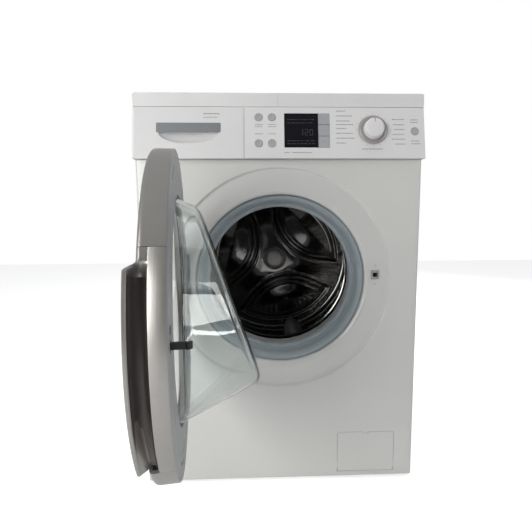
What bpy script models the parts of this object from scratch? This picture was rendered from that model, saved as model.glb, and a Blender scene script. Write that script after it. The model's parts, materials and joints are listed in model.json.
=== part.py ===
"""Front loading washing machine, built as an assembly of separate pieces.

Metres, +Z up. X runs across the machine, the front faces -Y. The floor is Z = 0 and the
origin is the centre of the floor area that the machine covers with its door open.
Depths are measured backwards from the front panel's outer face.
"""
import math

import bmesh
import bpy
from mathutils import Vector

# ---- driving dimensions -------------------------------------------------------------
WIDTH = 0.598               # over the side panels
HEIGHT = 0.848              # floor to worktop
DEPTH = 0.550               # front panel to rear panel
FRONT_Y = -0.0489           # the front panel's outer face
SHEET = 0.0012              # cabinet sheet steel
GAP = 0.0003                # between touching pieces
AXIS_Z = 0.461              # height of the drum, porthole and door centre

PANEL_LOW = 0.007           # bottom edge of the painted panels
PANEL_HIGH = 0.7140         # top edge of the front panel
PANEL_FOLD = 0.026          # how far the front panel's edges are folded back
FASCIA_LOW = 0.7143         # bottom edge of the control fascia
FASCIA_HIGH = 0.8205
FASCIA_PROUD = 0.0163       # how far its bottom edge stands in front of the panel
FASCIA_SLANT = math.radians(10.3)
FASCIA_WALL = 0.0025
FASCIA_BACK = PANEL_FOLD
DRAWER_SEAM_X = -0.0733     # joint between the drawer front and the fascia
DRAWER_BACK = 0.0125

DISH_RADIUS = 0.2362        # shallow round recess that the door closes into
DISH_DEPTH = 0.0060
PORTHOLE_RADIUS = 0.1812

HINGE_X = -0.2187           # the door's vertical hinge axis
HINGE_PROUD = 0.0190        # in front of the panel
DOOR_OPEN = math.radians(81.3)
DOOR_RADIUS = 0.2335
DOOR_INSIDE = 0.0234        # hinge axis back to the door's inner face
DOOR_OUTSIDE = 0.0061       # hinge axis out to the door's outer face
HANDLE_TOP = math.radians(28.0)
HANDLE_BOTTOM = math.radians(-36.0)
HANDLE_INNER_RADIUS = 0.2050
LOCK_X = 0.2055
LOCK_RISE = 0.009           # the lock sits this far above the porthole centre

BOWL_RIM_RADIUS = 0.1675    # glass bowl, outside, where it meets its flange
BOWL_RIM_DEPTH = 0.0147
BOWL_TAPER = 0.410          # radius lost per unit of depth
BOWL_FACE_DEPTH = 0.105     # depth of the slanted face on the bowl's axis
BOWL_FACE_SLOPE = 0.336     # depth gained per unit of height, downwards
BOWL_WALL = 0.0045

TUB_RADIUS = 0.258
TUB_WALL = 0.004
TUB_FRONT = 0.118
TUB_JOINT = 0.285
TUB_BACK = 0.484
DRUM_RADIUS = 0.2395
DRUM_SHEET = 0.0010
STAR_ANGLE = math.radians(104.0)
MOTOR_X = 0.125
MOTOR_Z = 0.137
MOTOR_RADIUS = 0.065
PULLEY_RADIUS = 0.140
MOTOR_PULLEY_RADIUS = 0.011
BELT_FRONT = 0.515
BELT_BACK = 0.527
SUSPENSION_DEPTH = 0.380
SPRING_X = 0.200
DAMPER_X = 0.190
DAMPER_DEPTH = 0.312
FOOT_X = 0.245
FOOT_DEPTHS = {"front": 0.075, "rear": 0.500}
PUMP_X = 0.191
PUMP_Z = 0.066

HALF = WIDTH / 2
FINE, COARSE = 40, 28       # segments around large and small turned pieces

for old in list(bpy.data.objects):
    bpy.data.objects.remove(old, do_unlink=True)
PARTS = bpy.data.collections.new("front_load_washing_machine")
CUTTERS = bpy.data.collections.new("cutters")
for collection in (PARTS, CUTTERS):
    bpy.context.scene.collection.children.link(collection)


# ---- materials ----------------------------------------------------------------------
def material(name, colour, roughness, metallic=0.0):
    made = bpy.data.materials.new(name)
    made.use_nodes = True
    shader = made.node_tree.nodes["Principled BSDF"]
    shader.inputs["Base Color"].default_value = (*colour, 1.0)
    shader.inputs["Roughness"].default_value = roughness
    shader.inputs["Metallic"].default_value = metallic
    return made


WHITE = material("white_enamel", (0.80, 0.80, 0.79), 0.30)
FASCIA_WHITE = material("fascia_plastic", (0.78, 0.79, 0.80), 0.40)
LAMINATE = material("worktop_laminate", (0.80, 0.80, 0.80), 0.35)
SILVER = material("silver_paint", (0.55, 0.54, 0.52), 0.38, 0.6)
GREY = material("grey_plastic", (0.42, 0.43, 0.44), 0.50)
KEY_GREY = material("key_grey", (0.50, 0.51, 0.53), 0.45)
BLACK = material("black_plastic", (0.03, 0.03, 0.03), 0.40)
DISPLAY = material("display_black", (0.02, 0.02, 0.03), 0.10)
GLASS = material("bowl_glass", (0.85, 0.90, 0.90), 0.03)
RUBBER = material("gasket_rubber", (0.30, 0.35, 0.38), 0.60)
BELT_RUBBER = material("belt_rubber", (0.04, 0.04, 0.04), 0.70)
STAINLESS = material("stainless_steel", (0.55, 0.55, 0.56), 0.22, 1.0)
STEEL = material("bright_steel", (0.60, 0.60, 0.61), 0.35, 1.0)
ALUMINIUM = material("cast_aluminium", (0.62, 0.62, 0.63), 0.50, 1.0)
ZINC = material("zinc_plate", (0.58, 0.59, 0.60), 0.40, 0.9)
TUB_PLASTIC = material("tub_plastic", (0.62, 0.63, 0.62), 0.55)
LIFTER_GREY = material("lifter_plastic", (0.55, 0.56, 0.57), 0.45)
CONCRETE = material("concrete", (0.50, 0.49, 0.47), 0.90)
MOTOR_PAINT = material("motor_paint", (0.20, 0.21, 0.22), 0.50, 0.5)
PUMP_PLASTIC = material("pump_plastic", (0.75, 0.74, 0.70), 0.50)


# ---- building helpers ---------------------------------------------------------------
def place(name, mesh, look=None, parent=None, location=(0, 0, 0), rotation=(0, 0, 0)):
    """A part when it has a material, otherwise a cutter or a piece to be joined."""
    made = bpy.data.objects.new(name, mesh)
    made.parent = parent
    made.location = location
    made.rotation_euler = rotation
    if look is None:
        CUTTERS.objects.link(made)
        made.hide_render = True
        made.display_type = "WIRE"
    else:
        PARTS.objects.link(made)
        mesh.materials.append(look)
    return made


def pivot(name, location, rotation=(0, 0, 0), parent=None):
    """An empty on a joint's axis, or on a plane that several pieces share."""
    made = bpy.data.objects.new(name, None)
    PARTS.objects.link(made)
    made.empty_display_size = 0.03
    made.location = location
    made.rotation_euler = rotation
    made.parent = parent
    return made


def mesh_from(name, build):
    mesh = bpy.data.meshes.new(name)
    cage = bmesh.new()
    build(cage)
    bmesh.ops.recalc_face_normals(cage, faces=cage.faces)
    cage.to_mesh(mesh)
    cage.free()
    return mesh


def block(name, low, high, look=None, parent=None, rounding=0.0, rounded=None, origin=None,
          turn=(0, 0, 0)):
    """A box between two corners. rounded(edge centre) picks the edges that are rounded."""
    low, high = Vector(low), Vector(high)
    centre = (low + high) / 2 if origin is None else Vector(origin)

    def build(cage):
        bmesh.ops.create_cube(cage, size=1.0)
        bmesh.ops.scale(cage, vec=high - low, verts=cage.verts)
        bmesh.ops.translate(cage, vec=(low + high) / 2 - centre, verts=cage.verts)
        if rounding:
            middles = [(edge, (edge.verts[0].co + edge.verts[1].co) / 2 + centre) for edge in cage.edges]
            chosen = [edge for edge, middle in middles if rounded is None or rounded(middle)]
            bmesh.ops.bevel(cage, geom=chosen, offset=rounding, segments=3, profile=0.5,
                            affect="EDGES", clamp_overlap=True)

    return place(name, mesh_from(name, build), look, parent, centre, turn)


def cylinder(name, radius, start, end, look=None, parent=None, segments=16, rotation=(0, 0, 0),
             location=(0, 0, 0)):
    """A cylinder along the local Z axis from start to end."""
    def build(cage):
        bmesh.ops.create_cone(cage, cap_ends=True, segments=segments, radius1=radius, radius2=radius,
                              depth=end - start)
        bmesh.ops.translate(cage, vec=(0, 0, (start + end) / 2), verts=cage.verts)

    return place(name, mesh_from(name, build), look, parent, location, rotation)


ALONG_Y = (-math.pi / 2, 0, 0)     # turns local Z to +Y


def turned(name, profile, look=None, parent=None, location=(0, 0, 0), rotation=ALONG_Y,
           segments=COARSE):
    """A turned piece: profile points are (radius, distance along the axis).

    A profile whose first and last points lie on the axis is a solid, any other is a ring.
    """
    on_axis = profile[0][0] == 0 and profile[-1][0] == 0
    around = profile + [profile[0]]
    area = sum(a[0] * b[1] - b[0] * a[1] for a, b in zip(around, around[1:]))
    points = profile if area < 0 else profile[::-1]
    mesh = bpy.data.meshes.new(name)
    cage = bmesh.new()
    corners = [cage.verts.new((radius, 0, along)) for radius, along in points]
    for first, second in zip(corners, corners[1:]):
        cage.edges.new((first, second))
    if not on_axis:
        cage.edges.new((corners[-1], corners[0]))
    cage.to_mesh(mesh)
    cage.free()
    made = place(name, mesh, look, parent, location, rotation)
    screw = made.modifiers.new("turn", "SCREW")
    screw.steps = screw.render_steps = segments
    screw.use_merge_vertices = True
    screw.merge_threshold = 0.00001
    return made


def offset_path(path, distance):
    """The path moved sideways by distance, to its left, with mitred corners."""
    normals = []
    for (r0, a0), (r1, a1) in zip(path, path[1:]):
        length = math.hypot(r1 - r0, a1 - a0)
        normals.append(Vector((-(a1 - a0) / length, (r1 - r0) / length)))
    moved = []
    for index, (radius, along) in enumerate(path):
        before = normals[max(index - 1, 0)]
        after = normals[min(index, len(normals) - 1)]
        mitre = (before + after).normalized()
        step = distance / max(mitre.dot(after), 0.5)
        moved.append((max(radius + mitre.x * step, 0.0), along + mitre.y * step))
    return moved


def shell_profile(path, thickness):
    """A closed section of a wall that follows the path."""
    return path + offset_path(path, thickness)[::-1]


def boolean(target, other, operation):
    step = target.modifiers.new(operation.lower(), "BOOLEAN")
    step.operation = operation
    step.object = other
    return target


def cut(target, *others):
    for other in others:
        boolean(target, other, "DIFFERENCE")
    return target


def fuse(target, *others):
    for other in others:
        boolean(target, other, "UNION")
    return target


def tube(name, points, radius, look=None, sides=2):
    """A round bar along the points, made with a bevelled curve and then a welded mesh."""
    curve = bpy.data.curves.new(name, "CURVE")
    curve.dimensions = "3D"
    curve.bevel_depth = radius
    curve.bevel_resolution = sides
    curve.use_fill_caps = True
    spline = curve.splines.new("POLY")
    spline.points.add(len(points) - 1)
    for target, point in zip(spline.points, points):
        target.co = (*point, 1.0)
    return solid_from_curve(name, curve, look)


def solid_from_curve(name, curve, look, location=(0, 0, 0), rotation=(0, 0, 0)):
    drawn = bpy.data.objects.new(name + "_curve", curve)
    bpy.context.scene.collection.objects.link(drawn)
    graph = bpy.context.evaluated_depsgraph_get()
    mesh = bpy.data.meshes.new_from_object(drawn.evaluated_get(graph))
    bpy.data.objects.remove(drawn, do_unlink=True)
    bpy.data.curves.remove(curve)
    cage = bmesh.new()
    cage.from_mesh(mesh)
    bmesh.ops.remove_doubles(cage, verts=cage.verts, dist=0.00001)
    bmesh.ops.recalc_face_normals(cage, faces=cage.faces)
    cage.to_mesh(mesh)
    cage.free()
    return place(name, mesh, look, None, location, rotation)


def at(x, depth, z):
    """A point given by its depth behind the front panel."""
    return (x, FRONT_Y + depth, z)


def axis_at(x, z):
    """Where a front-to-back axis meets the front panel's plane."""
    return (x, FRONT_Y, z)


DRUM_AXIS = axis_at(0.0, AXIS_Z)


# ---- cabinet ------------------------------------------------------------------------
DISH_PATH = [
    (DISH_RADIUS, -0.020), (DISH_RADIUS, 0.0), (DISH_RADIUS - 0.0015, DISH_DEPTH),
    (0.1900, DISH_DEPTH), (0.1850, 0.0085), (0.1822, 0.0140), (PORTHOLE_RADIUS, 0.0200),
    (PORTHOLE_RADIUS, 0.060),
]
FLAP_LOW = (0.1275, 0.0180)
FLAP_HIGH = (0.2555, 0.1115)


def front_panel():
    """Pressed steel pan with the round recess, the rolled porthole rim and three openings."""
    front_corner = lambda middle: middle.y < FRONT_Y + 0.001 and abs(middle.x) > HALF - 0.001
    pan = block("front_panel", at(-HALF, 0, PANEL_LOW), at(HALF, PANEL_FOLD, PANEL_HIGH), WHITE,
                rounding=0.008, rounded=front_corner)
    hollow_corner = lambda middle: (middle.y < FRONT_Y + SHEET + 0.001
                                    and abs(middle.x) > HALF - SHEET - 0.001)
    hollow = block("front_panel_hollow", at(SHEET - HALF, SHEET, PANEL_LOW + SHEET),
                   at(HALF - SHEET, PANEL_FOLD + 0.02, PANEL_HIGH - SHEET),
                   rounding=0.008 - SHEET, rounded=hollow_corner)
    dish = turned("dish_face", [(0, -0.020)] + DISH_PATH + [(0, 0.060)], location=DRUM_AXIS,
                  segments=FINE)
    back = offset_path(DISH_PATH, -SHEET)
    dish_back = turned("dish_back", [(0, -0.020)] + back + [(0, 0.060)], location=DRUM_AXIS,
                       segments=FINE)
    cut(hollow, dish_back)
    flap_hole = block("flap_hole", at(FLAP_LOW[0] - 0.0006, -0.01, FLAP_LOW[1] - 0.0006),
                      at(FLAP_HIGH[0] + 0.0006, 0.02, FLAP_HIGH[1] + 0.0006))
    lock_hole = block("lock_hole", at(LOCK_X - 0.0078, -0.01, AXIS_Z + LOCK_RISE - 0.0078),
                      at(LOCK_X + 0.0078, 0.03, AXIS_Z + LOCK_RISE + 0.0078))
    cut(pan, dish, hollow, flap_hole, lock_hole)


def side_panel(side, name):
    """Folded sheet: an outer wall with a front and a rear flange and a shelf for the spring."""
    path = [(0.2895, PANEL_FOLD + GAP), (HALF, PANEL_FOLD + GAP), (HALF, DEPTH - 0.0015),
            (0.272, DEPTH - 0.0015)]

    def build(cage):
        corners = [cage.verts.new((side * x, FRONT_Y + depth, PANEL_LOW)) for x, depth in path]
        folds = [cage.edges.new(pair) for pair in zip(corners, corners[1:])]
        swept = bmesh.ops.extrude_edge_only(cage, edges=folds)["geom"]
        risen = [item for item in swept if isinstance(item, bmesh.types.BMVert)]
        bmesh.ops.translate(cage, vec=(0, 0, FASCIA_HIGH - PANEL_LOW - GAP), verts=risen)

    panel = place(name, mesh_from(name, build), WHITE)
    wall = panel.modifiers.new("sheet", "SOLIDIFY")
    wall.thickness = SHEET
    wall.offset = -1.0
    wall.use_even_offset = True
    inner, outer = sorted((side * (SPRING_X - 0.022), side * (HALF - SHEET / 2)))
    shelf = block(name + "_shelf", at(inner, SUSPENSION_DEPTH - 0.016, 0.7900),
                  at(outer, SUSPENSION_DEPTH + 0.016, 0.7925))
    fuse(panel, shelf)
    return panel


VALVE_X, VALVE_Z = -0.215, 0.775
GLAND_X, GLAND_Z = 0.200, 0.745


def rear_panels():
    panel = block("rear_panel", at(-HALF + 0.001, DEPTH - 0.0012, 0.020),
                  at(HALF - 0.001, DEPTH, FASCIA_HIGH - GAP), WHITE)
    window = block("rear_window", at(-0.175, DEPTH - 0.01, 0.255), at(0.175, DEPTH + 0.01, 0.665))
    valve_hole = cylinder("valve_hole", 0.0145, DEPTH - 0.01, DEPTH + 0.01, rotation=ALONG_Y,
                          location=axis_at(VALVE_X, VALVE_Z), segments=20)
    gland = turned("mains_gland", [(0.0045, DEPTH - 0.008), (0.0120, DEPTH - 0.008),
                                   (0.0120, DEPTH + 0.004),
                                   (0.0090, DEPTH + 0.012), (0.0045, DEPTH + 0.012)],
                   location=axis_at(GLAND_X, GLAND_Z), segments=16)
    cord_hole = cylinder("cord_hole", 0.0045, DEPTH - 0.02, DEPTH + 0.02, rotation=ALONG_Y,
                         location=axis_at(GLAND_X, GLAND_Z), segments=16)
    cut(panel, window, valve_hole)
    fuse(panel, gland)
    cut(panel, cord_hole)

    bulge_edges = lambda middle: middle.y > FRONT_Y + DEPTH + 0.010
    flange = block("rear_cover", at(-0.195, DEPTH + GAP, 0.235), at(0.195, DEPTH + GAP + 0.001, 0.685),
                   WHITE)
    bulge = block("cover_bulge", at(-0.172, DEPTH + GAP + 0.0004, 0.258), at(0.172, DEPTH + 0.016, 0.662),
                  rounding=0.006, rounded=bulge_edges)
    hollow = block("cover_hollow", at(-0.171, DEPTH - 0.01, 0.259), at(0.171, DEPTH + 0.015, 0.661),
                   rounding=0.005, rounded=lambda middle: middle.y > FRONT_Y + DEPTH + 0.010)
    fuse(flange, bulge)
    cut(flange, hollow)


def base_plate():
    """Shallow steel tray that carries the feet, the dampers and the pump."""
    tray = block("base_plate", at(-0.2960, 0.030, 0.0200), at(0.2960, 0.5460, 0.0330), ZINC)
    hollow = block("base_hollow", at(-0.2945, 0.0315, 0.0215), at(0.2945, 0.5445, 0.0500))
    cut(tray, hollow)
    for row, depth in FOOT_DEPTHS.items():
        for side in (-1, 1):
            hole = cylinder(f"foot_hole_{row}_{side}", 0.0058, 0.0, 0.05,
                            location=at(side * FOOT_X, depth, 0))
            cut(tray, hole)


def worktop():
    front_top = lambda middle: middle.z > HEIGHT - 0.001 and middle.y < FRONT_Y + 0.004
    side_top = lambda middle: middle.z > HEIGHT - 0.001 and abs(middle.x) > HALF - 0.001
    slab = block("worktop", at(-HALF, 0.0031, FASCIA_HIGH + GAP), at(HALF, DEPTH + 0.003, HEIGHT),
                 LAMINATE,
                 rounding=0.0045, rounded=lambda middle: front_top(middle) or side_top(middle))
    seam = block("trim_seam", at(-0.0045, 0.0, FASCIA_HIGH - 0.01), at(-0.0037, 0.0038, HEIGHT + 0.01))
    cut(slab, seam)


def foot(name, x, depth):
    """Screw-in levelling foot: rubber pad and steel stem in one."""
    turned(name, [(0, 0), (0.0205, 0), (0.0205, 0.004), (0.0150, 0.012), (0.0100, 0.0165),
                  (0.0050, 0.0165), (0.0050, 0.058), (0, 0.058)],
           BLACK, location=at(x, depth, 0), rotation=(0, 0, 0), segments=14)


# ---- control fascia -----------------------------------------------------------------
def slanted_front(z, inset=0.0):
    """Y of the fascia's slanted front at a height, moved back by inset."""
    return (FRONT_Y - FASCIA_PROUD + (z - FASCIA_LOW) * math.tan(FASCIA_SLANT)
            + inset / math.cos(FASCIA_SLANT))


def slanted_block(name, x_range, z_range, inset, back_depth, look=None, rounding=0.0, parent=None,
                  shift=(0, 0, 0)):
    """A box whose front face follows the fascia's slant."""
    (x_low, x_high), (z_low, z_high) = x_range, z_range

    def build(cage):
        bmesh.ops.create_cube(cage, size=1.0)
        for corner in cage.verts:
            corner.co.x = x_high if corner.co.x > 0 else x_low
            corner.co.z = z_high if corner.co.z > 0 else z_low
            in_front = corner.co.y < 0
            corner.co.y = slanted_front(corner.co.z, inset) if in_front else FRONT_Y + back_depth
            corner.co -= Vector(shift)
        if rounding:
            front = [edge for edge in cage.edges
                     if all(v.co.y + shift[1] < FRONT_Y + 0.0045 for v in edge.verts)]
            bmesh.ops.bevel(cage, geom=front, offset=rounding, segments=2, profile=0.5, affect="EDGES")

    return place(name, mesh_from(name, build), look, parent, shift)


FASCIA_ORIGIN = (0.0, FRONT_Y - FASCIA_PROUD, FASCIA_LOW)
DISPLAY_X = (0.0082, 0.0774)
KEYS_X = (0.0779, 0.1010)
DISPLAY_UP = (0.0230, 0.0942)
KEY_GAP = 0.0008
OPTION_BUTTONS = {"upper_left": (-0.0441, 0.0862), "upper_right": (-0.0170, 0.0862),
                  "lower_left": (-0.0441, 0.0316), "lower_right": (-0.0170, 0.0316)}
BUTTON_RADIUS = 0.0080
START_BUTTON = (0.2779, 0.0574)
KNOB = (0.1912, 0.0601)
PUSH = (math.pi / 2, 0, 0)         # turns local Z to the fascia's outward side


def control_fascia(plane):
    shell = slanted_block("control_fascia", (-HALF, HALF), (FASCIA_LOW + GAP, FASCIA_HIGH), 0.0,
                          FASCIA_BACK, FASCIA_WHITE, rounding=0.0015)
    right = slanted_block("fascia_hollow_right", (DRAWER_SEAM_X + FASCIA_WALL, HALF - FASCIA_WALL),
                          (FASCIA_LOW + FASCIA_WALL, FASCIA_HIGH - FASCIA_WALL), FASCIA_WALL, 0.06)
    left = slanted_block("fascia_hollow_left", (FASCIA_WALL - HALF, DRAWER_SEAM_X),
                         (FASCIA_LOW + FASCIA_WALL, FASCIA_HIGH - FASCIA_WALL), FASCIA_WALL, 0.06)
    drawer_space = slanted_block("fascia_drawer_space", (-HALF - 0.01, DRAWER_SEAM_X),
                                 (FASCIA_LOW - 0.01, FASCIA_HIGH + 0.01), -0.01, DRAWER_BACK)
    window = block("display_window", (DISPLAY_X[0] - GAP, -0.01, DISPLAY_UP[0] - GAP),
                   (KEYS_X[1] + GAP, 0.01, DISPLAY_UP[1] + GAP), parent=plane)
    cut(shell, right, left, drawer_space, window)
    holes = {**OPTION_BUTTONS, "start": START_BUTTON}
    for name, (x, up) in holes.items():
        hole = cylinder("hole_" + name, BUTTON_RADIUS + 0.0005, -0.01, 0.01, parent=plane, rotation=PUSH,
                        location=(x, 0, up), segments=24)
        cut(shell, hole)
    knob_hole = cylinder("hole_knob", 0.0060, -0.01, 0.01, parent=plane, rotation=PUSH,
                         location=(KNOB[0], 0, KNOB[1]))
    cut(shell, knob_hole)


def controls(plane):
    for name, (x, up) in OPTION_BUTTONS.items():
        turned("option_button_" + name, [(0, 0.0012), (BUTTON_RADIUS - 0.0007, 0.0012),
                                         (BUTTON_RADIUS, 0.0006),
                                         (BUTTON_RADIUS, -0.0080), (0, -0.0080)],
               KEY_GREY, parent=plane, location=(x, 0, up), rotation=PUSH, segments=16)
    turned("start_button", [(0, 0.0012), (BUTTON_RADIUS - 0.0007, 0.0012), (BUTTON_RADIUS, 0.0006),
                            (BUTTON_RADIUS, -0.0080), (0, -0.0080)],
           KEY_GREY, parent=plane, location=(START_BUTTON[0], 0, START_BUTTON[1]), rotation=PUSH,
           segments=20)
    step = (DISPLAY_UP[1] - DISPLAY_UP[0] + KEY_GAP) / 3
    for index, name in enumerate(("lower", "middle", "upper")):
        low = DISPLAY_UP[0] + index * step
        centre = ((KEYS_X[0] + KEYS_X[1]) / 2, 0, low + (step - KEY_GAP) / 2)
        block("display_key_" + name, (KEYS_X[0], -0.0008, low), (KEYS_X[1], 0.0060, low + step - KEY_GAP),
              KEY_GREY, parent=plane, origin=centre)
    block("display_lens", (DISPLAY_X[0], -0.0003, DISPLAY_UP[0]), (DISPLAY_X[1], 0.0022, DISPLAY_UP[1]),
          DISPLAY, parent=plane)
    knob = turned("program_knob", [(0, 0.0175), (0.0185, 0.0175), (0.0215, 0.0150), (0.0225, 0.0050),
                                   (0.0290, 0.0042), (0.0290, 0.0006), (0.0055, 0.0006),
                                   (0.0055, -0.0120),
                                   (0, -0.0120)],
                  FASCIA_WHITE, parent=plane, location=(KNOB[0], 0, KNOB[1]), rotation=PUSH, segments=32)
    notch = block("knob_notch", (KNOB[0] - 0.0008, -0.0185, KNOB[1] + 0.008),
                  (KNOB[0] + 0.0008, -0.0165, KNOB[1] + 0.03),
                  parent=plane)
    cut(knob, notch)


# ---- detergent drawer ---------------------------------------------------------------
GRIP_X = (-0.2512, -0.1214)
TRAY_X = (-0.283, -0.087)
TRAY_Z = (0.7310, 0.8030)
TRAY_END = 0.205
DRAWER_ORIGIN = at((TRAY_X[0] + TRAY_X[1]) / 2, 0.0, TRAY_Z[0])


def drawer():
    front = slanted_block("drawer_front", (-HALF, DRAWER_SEAM_X - 0.0004),
                          (FASCIA_LOW + GAP, FASCIA_HIGH), 0.0,
                          DRAWER_BACK - GAP, FASCIA_WHITE, rounding=0.0015, shift=DRAWER_ORIGIN)
    hollow_high = slanted_block("drawer_hollow_high", (FASCIA_WALL - HALF, DRAWER_SEAM_X - FASCIA_WALL),
                                (0.7915, FASCIA_HIGH - FASCIA_WALL), FASCIA_WALL, 0.05)
    hollow_low = slanted_block("drawer_hollow_low", (FASCIA_WALL - HALF, DRAWER_SEAM_X - FASCIA_WALL),
                               (FASCIA_LOW + FASCIA_WALL, 0.7400), FASCIA_WALL, 0.05)
    scoop = slanted_block("grip_scoop", GRIP_X, (0.7455, 0.7685), -0.02, 0.0080)
    slot = slanted_block("grip_slot", GRIP_X, (0.7600, 0.7800), 0.0060, 0.0080)
    cut(front, hollow_high, hollow_low, scoop, slot)

    tray = block("drawer_tray", at(TRAY_X[0], DRAWER_BACK, TRAY_Z[0]), at(TRAY_X[1], TRAY_END, TRAY_Z[1]),
                 GREY, origin=DRAWER_ORIGIN)
    for index, (start, end) in enumerate(tray_cells()):
        cell = block(f"tray_cell_{index}", at(start, DRAWER_BACK + 0.006, TRAY_Z[0] + 0.002),
                     at(end, TRAY_END - 0.002, TRAY_Z[1] + 0.02))
        cut(tray, cell)


def tray_cells():
    """X ranges of the three compartments."""
    wall = 0.002
    width = (TRAY_X[1] - TRAY_X[0] - 4 * wall) / 3
    return [(TRAY_X[0] + wall + i * (width + wall), TRAY_X[0] + wall + i * (width + wall) + width)
            for i in range(3)]


def dispenser_housing():
    housing = block("dispenser_housing", at(-0.288, 0.0345, 0.7265), at(-0.082, 0.235, 0.8135),
                    TUB_PLASTIC)
    inside = block("dispenser_inside", at(-0.286, 0.02, 0.7285), at(-0.084, 0.233, 0.8115))
    cut(housing, inside)


# ---- door ---------------------------------------------------------------------------
# Door pieces are placed from the hinge: x along the door from the hinge axis, y inwards,
# z up from the porthole centre.
DOOR_CENTRE = -HINGE_X
HINGE_HALF = 0.062          # half height of the gap that the hinge needs
LUG_LOW, LUG_HIGH = 0.047, 0.057


def handle_wedge(name, hinge, inner_radius, margin):
    """A sector-shaped solid over the stretch of the ring that the handle fills."""
    steps, outer_radius = 10, 0.30
    start, sweep = HANDLE_BOTTOM - margin, HANDLE_TOP - HANDLE_BOTTOM + 2 * margin
    arc = [start + sweep * i / steps for i in range(steps + 1)]
    inner = [(inner_radius * math.cos(a), inner_radius * math.sin(a)) for a in reversed(arc)]
    outer = [(outer_radius * math.cos(a), outer_radius * math.sin(a)) for a in arc]

    def build(cage):
        corners = [cage.verts.new((DOOR_CENTRE + x, -0.05, z)) for x, z in outer + inner]
        face = cage.faces.new(corners)
        swept = bmesh.ops.extrude_face_region(cage, geom=[face])["geom"]
        moved = [item for item in swept if isinstance(item, bmesh.types.BMVert)]
        bmesh.ops.translate(cage, vec=(0, 0.10, 0), verts=moved)

    return place(name, mesh_from(name, build), parent=hinge)


def door(hinge):
    centre = (DOOR_CENTRE, 0, 0)
    inside, outside = DOOR_INSIDE, DOOR_OUTSIDE
    wall = DOOR_RADIUS - 0.0038
    ring = turned("door_ring", [
        (0.1500, -0.0010), (0.1560, -outside), (DOOR_RADIUS - 0.0045, -outside),
        (DOOR_RADIUS - 0.0015, -0.0050),
        (DOOR_RADIUS, -0.0020), (DOOR_RADIUS, inside), (wall, inside), (wall, -0.0021), (0.1712, -0.0021),
        (0.1712, 0.0127), (0.1672, 0.0127), (0.1672, -0.0010)],
        SILVER, hinge, centre, segments=FINE)
    cut(ring, handle_wedge("handle_gap", hinge, HANDLE_INNER_RADIUS - 0.0010, math.radians(0.12)))
    cut(ring, block("hinge_gap", (-0.03, -0.0045, -HINGE_HALF), (0.012, 0.04, HINGE_HALF), parent=hinge))
    for side in (-1, 1):
        low, high = sorted((side * (LUG_LOW - 0.001), side * (LUG_HIGH + 0.001)))
        cut(ring, block(f"lug_slot_{side}", (-0.03, -0.02, low), (0.0055, 0.03, high), parent=hinge))

    handle = turned("door_handle", [
        (HANDLE_INNER_RADIUS, -0.0021), (HANDLE_INNER_RADIUS, -outside), (0.2110, -0.0150),
        (0.2180, -0.0178),
        (0.2345, -0.0178), (0.2345, -0.0135), (0.2200, -0.0120), (0.2150, -0.0060), (0.2150, -0.0010),
        (0.2200, 0.0035), (DOOR_RADIUS, 0.0050), (DOOR_RADIUS, inside), (wall, inside), (wall, 0.0085),
        (0.2120, 0.0050), (0.2100, -0.0021)],
        SILVER, hinge, centre, segments=FINE)
    boolean(handle, handle_wedge("handle_stretch", hinge, 0.18, 0.0), "INTERSECT")

    frame = turned("door_inner_frame", [
        (0.1690, 0.0168), (0.1690, inside), (wall - GAP, inside), (wall - GAP, inside - 0.0030),
        (0.1800, inside - 0.0030), (0.1800, 0.0168)],
        GREY, hinge, centre, segments=FINE)
    cut(frame, block("frame_hinge_gap", (-0.03, -0.01, -0.068), (0.032, 0.05, 0.068), parent=hinge))
    hook_x = DOOR_CENTRE + LOCK_X
    cut(frame, block("hook_slot", (hook_x - 0.0085, 0.0, LOCK_RISE - 0.0062),
                     (hook_x + 0.0085, 0.05, LOCK_RISE + 0.0062), parent=hinge))
    door_glass(hinge)

    arm = turned("hinge_arm", [(0, -0.0455), (0.0042, -0.0455), (0.0042, 0.0455), (0, 0.0455)], ZINC,
                 hinge,
                 rotation=(0, 0, 0), segments=16)
    plate = block("arm_plate", (0.0, -0.0012, -0.042), (0.0384, 0.0018, 0.042), parent=hinge)
    post = block("arm_post", (0.0328, 0.0005, -0.036), (0.0384, inside - 0.0030 - GAP, 0.036),
                 parent=hinge)
    fuse(arm, plate, post)

    pin = pivot("hook_pivot", (hook_x, 0.0190, LOCK_RISE), parent=hinge)
    hook = block("latch_hook", (-0.0025, -0.0030, -0.0037), (0.0025, 0.0262, 0.0037), BLACK, parent=pin,
                 origin=(0, 0, 0))
    barb = block("hook_barb", (0.0, 0.0200, -0.0037), (0.0042, 0.0255, 0.0037), parent=pin)
    fuse(hook, barb)


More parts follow.
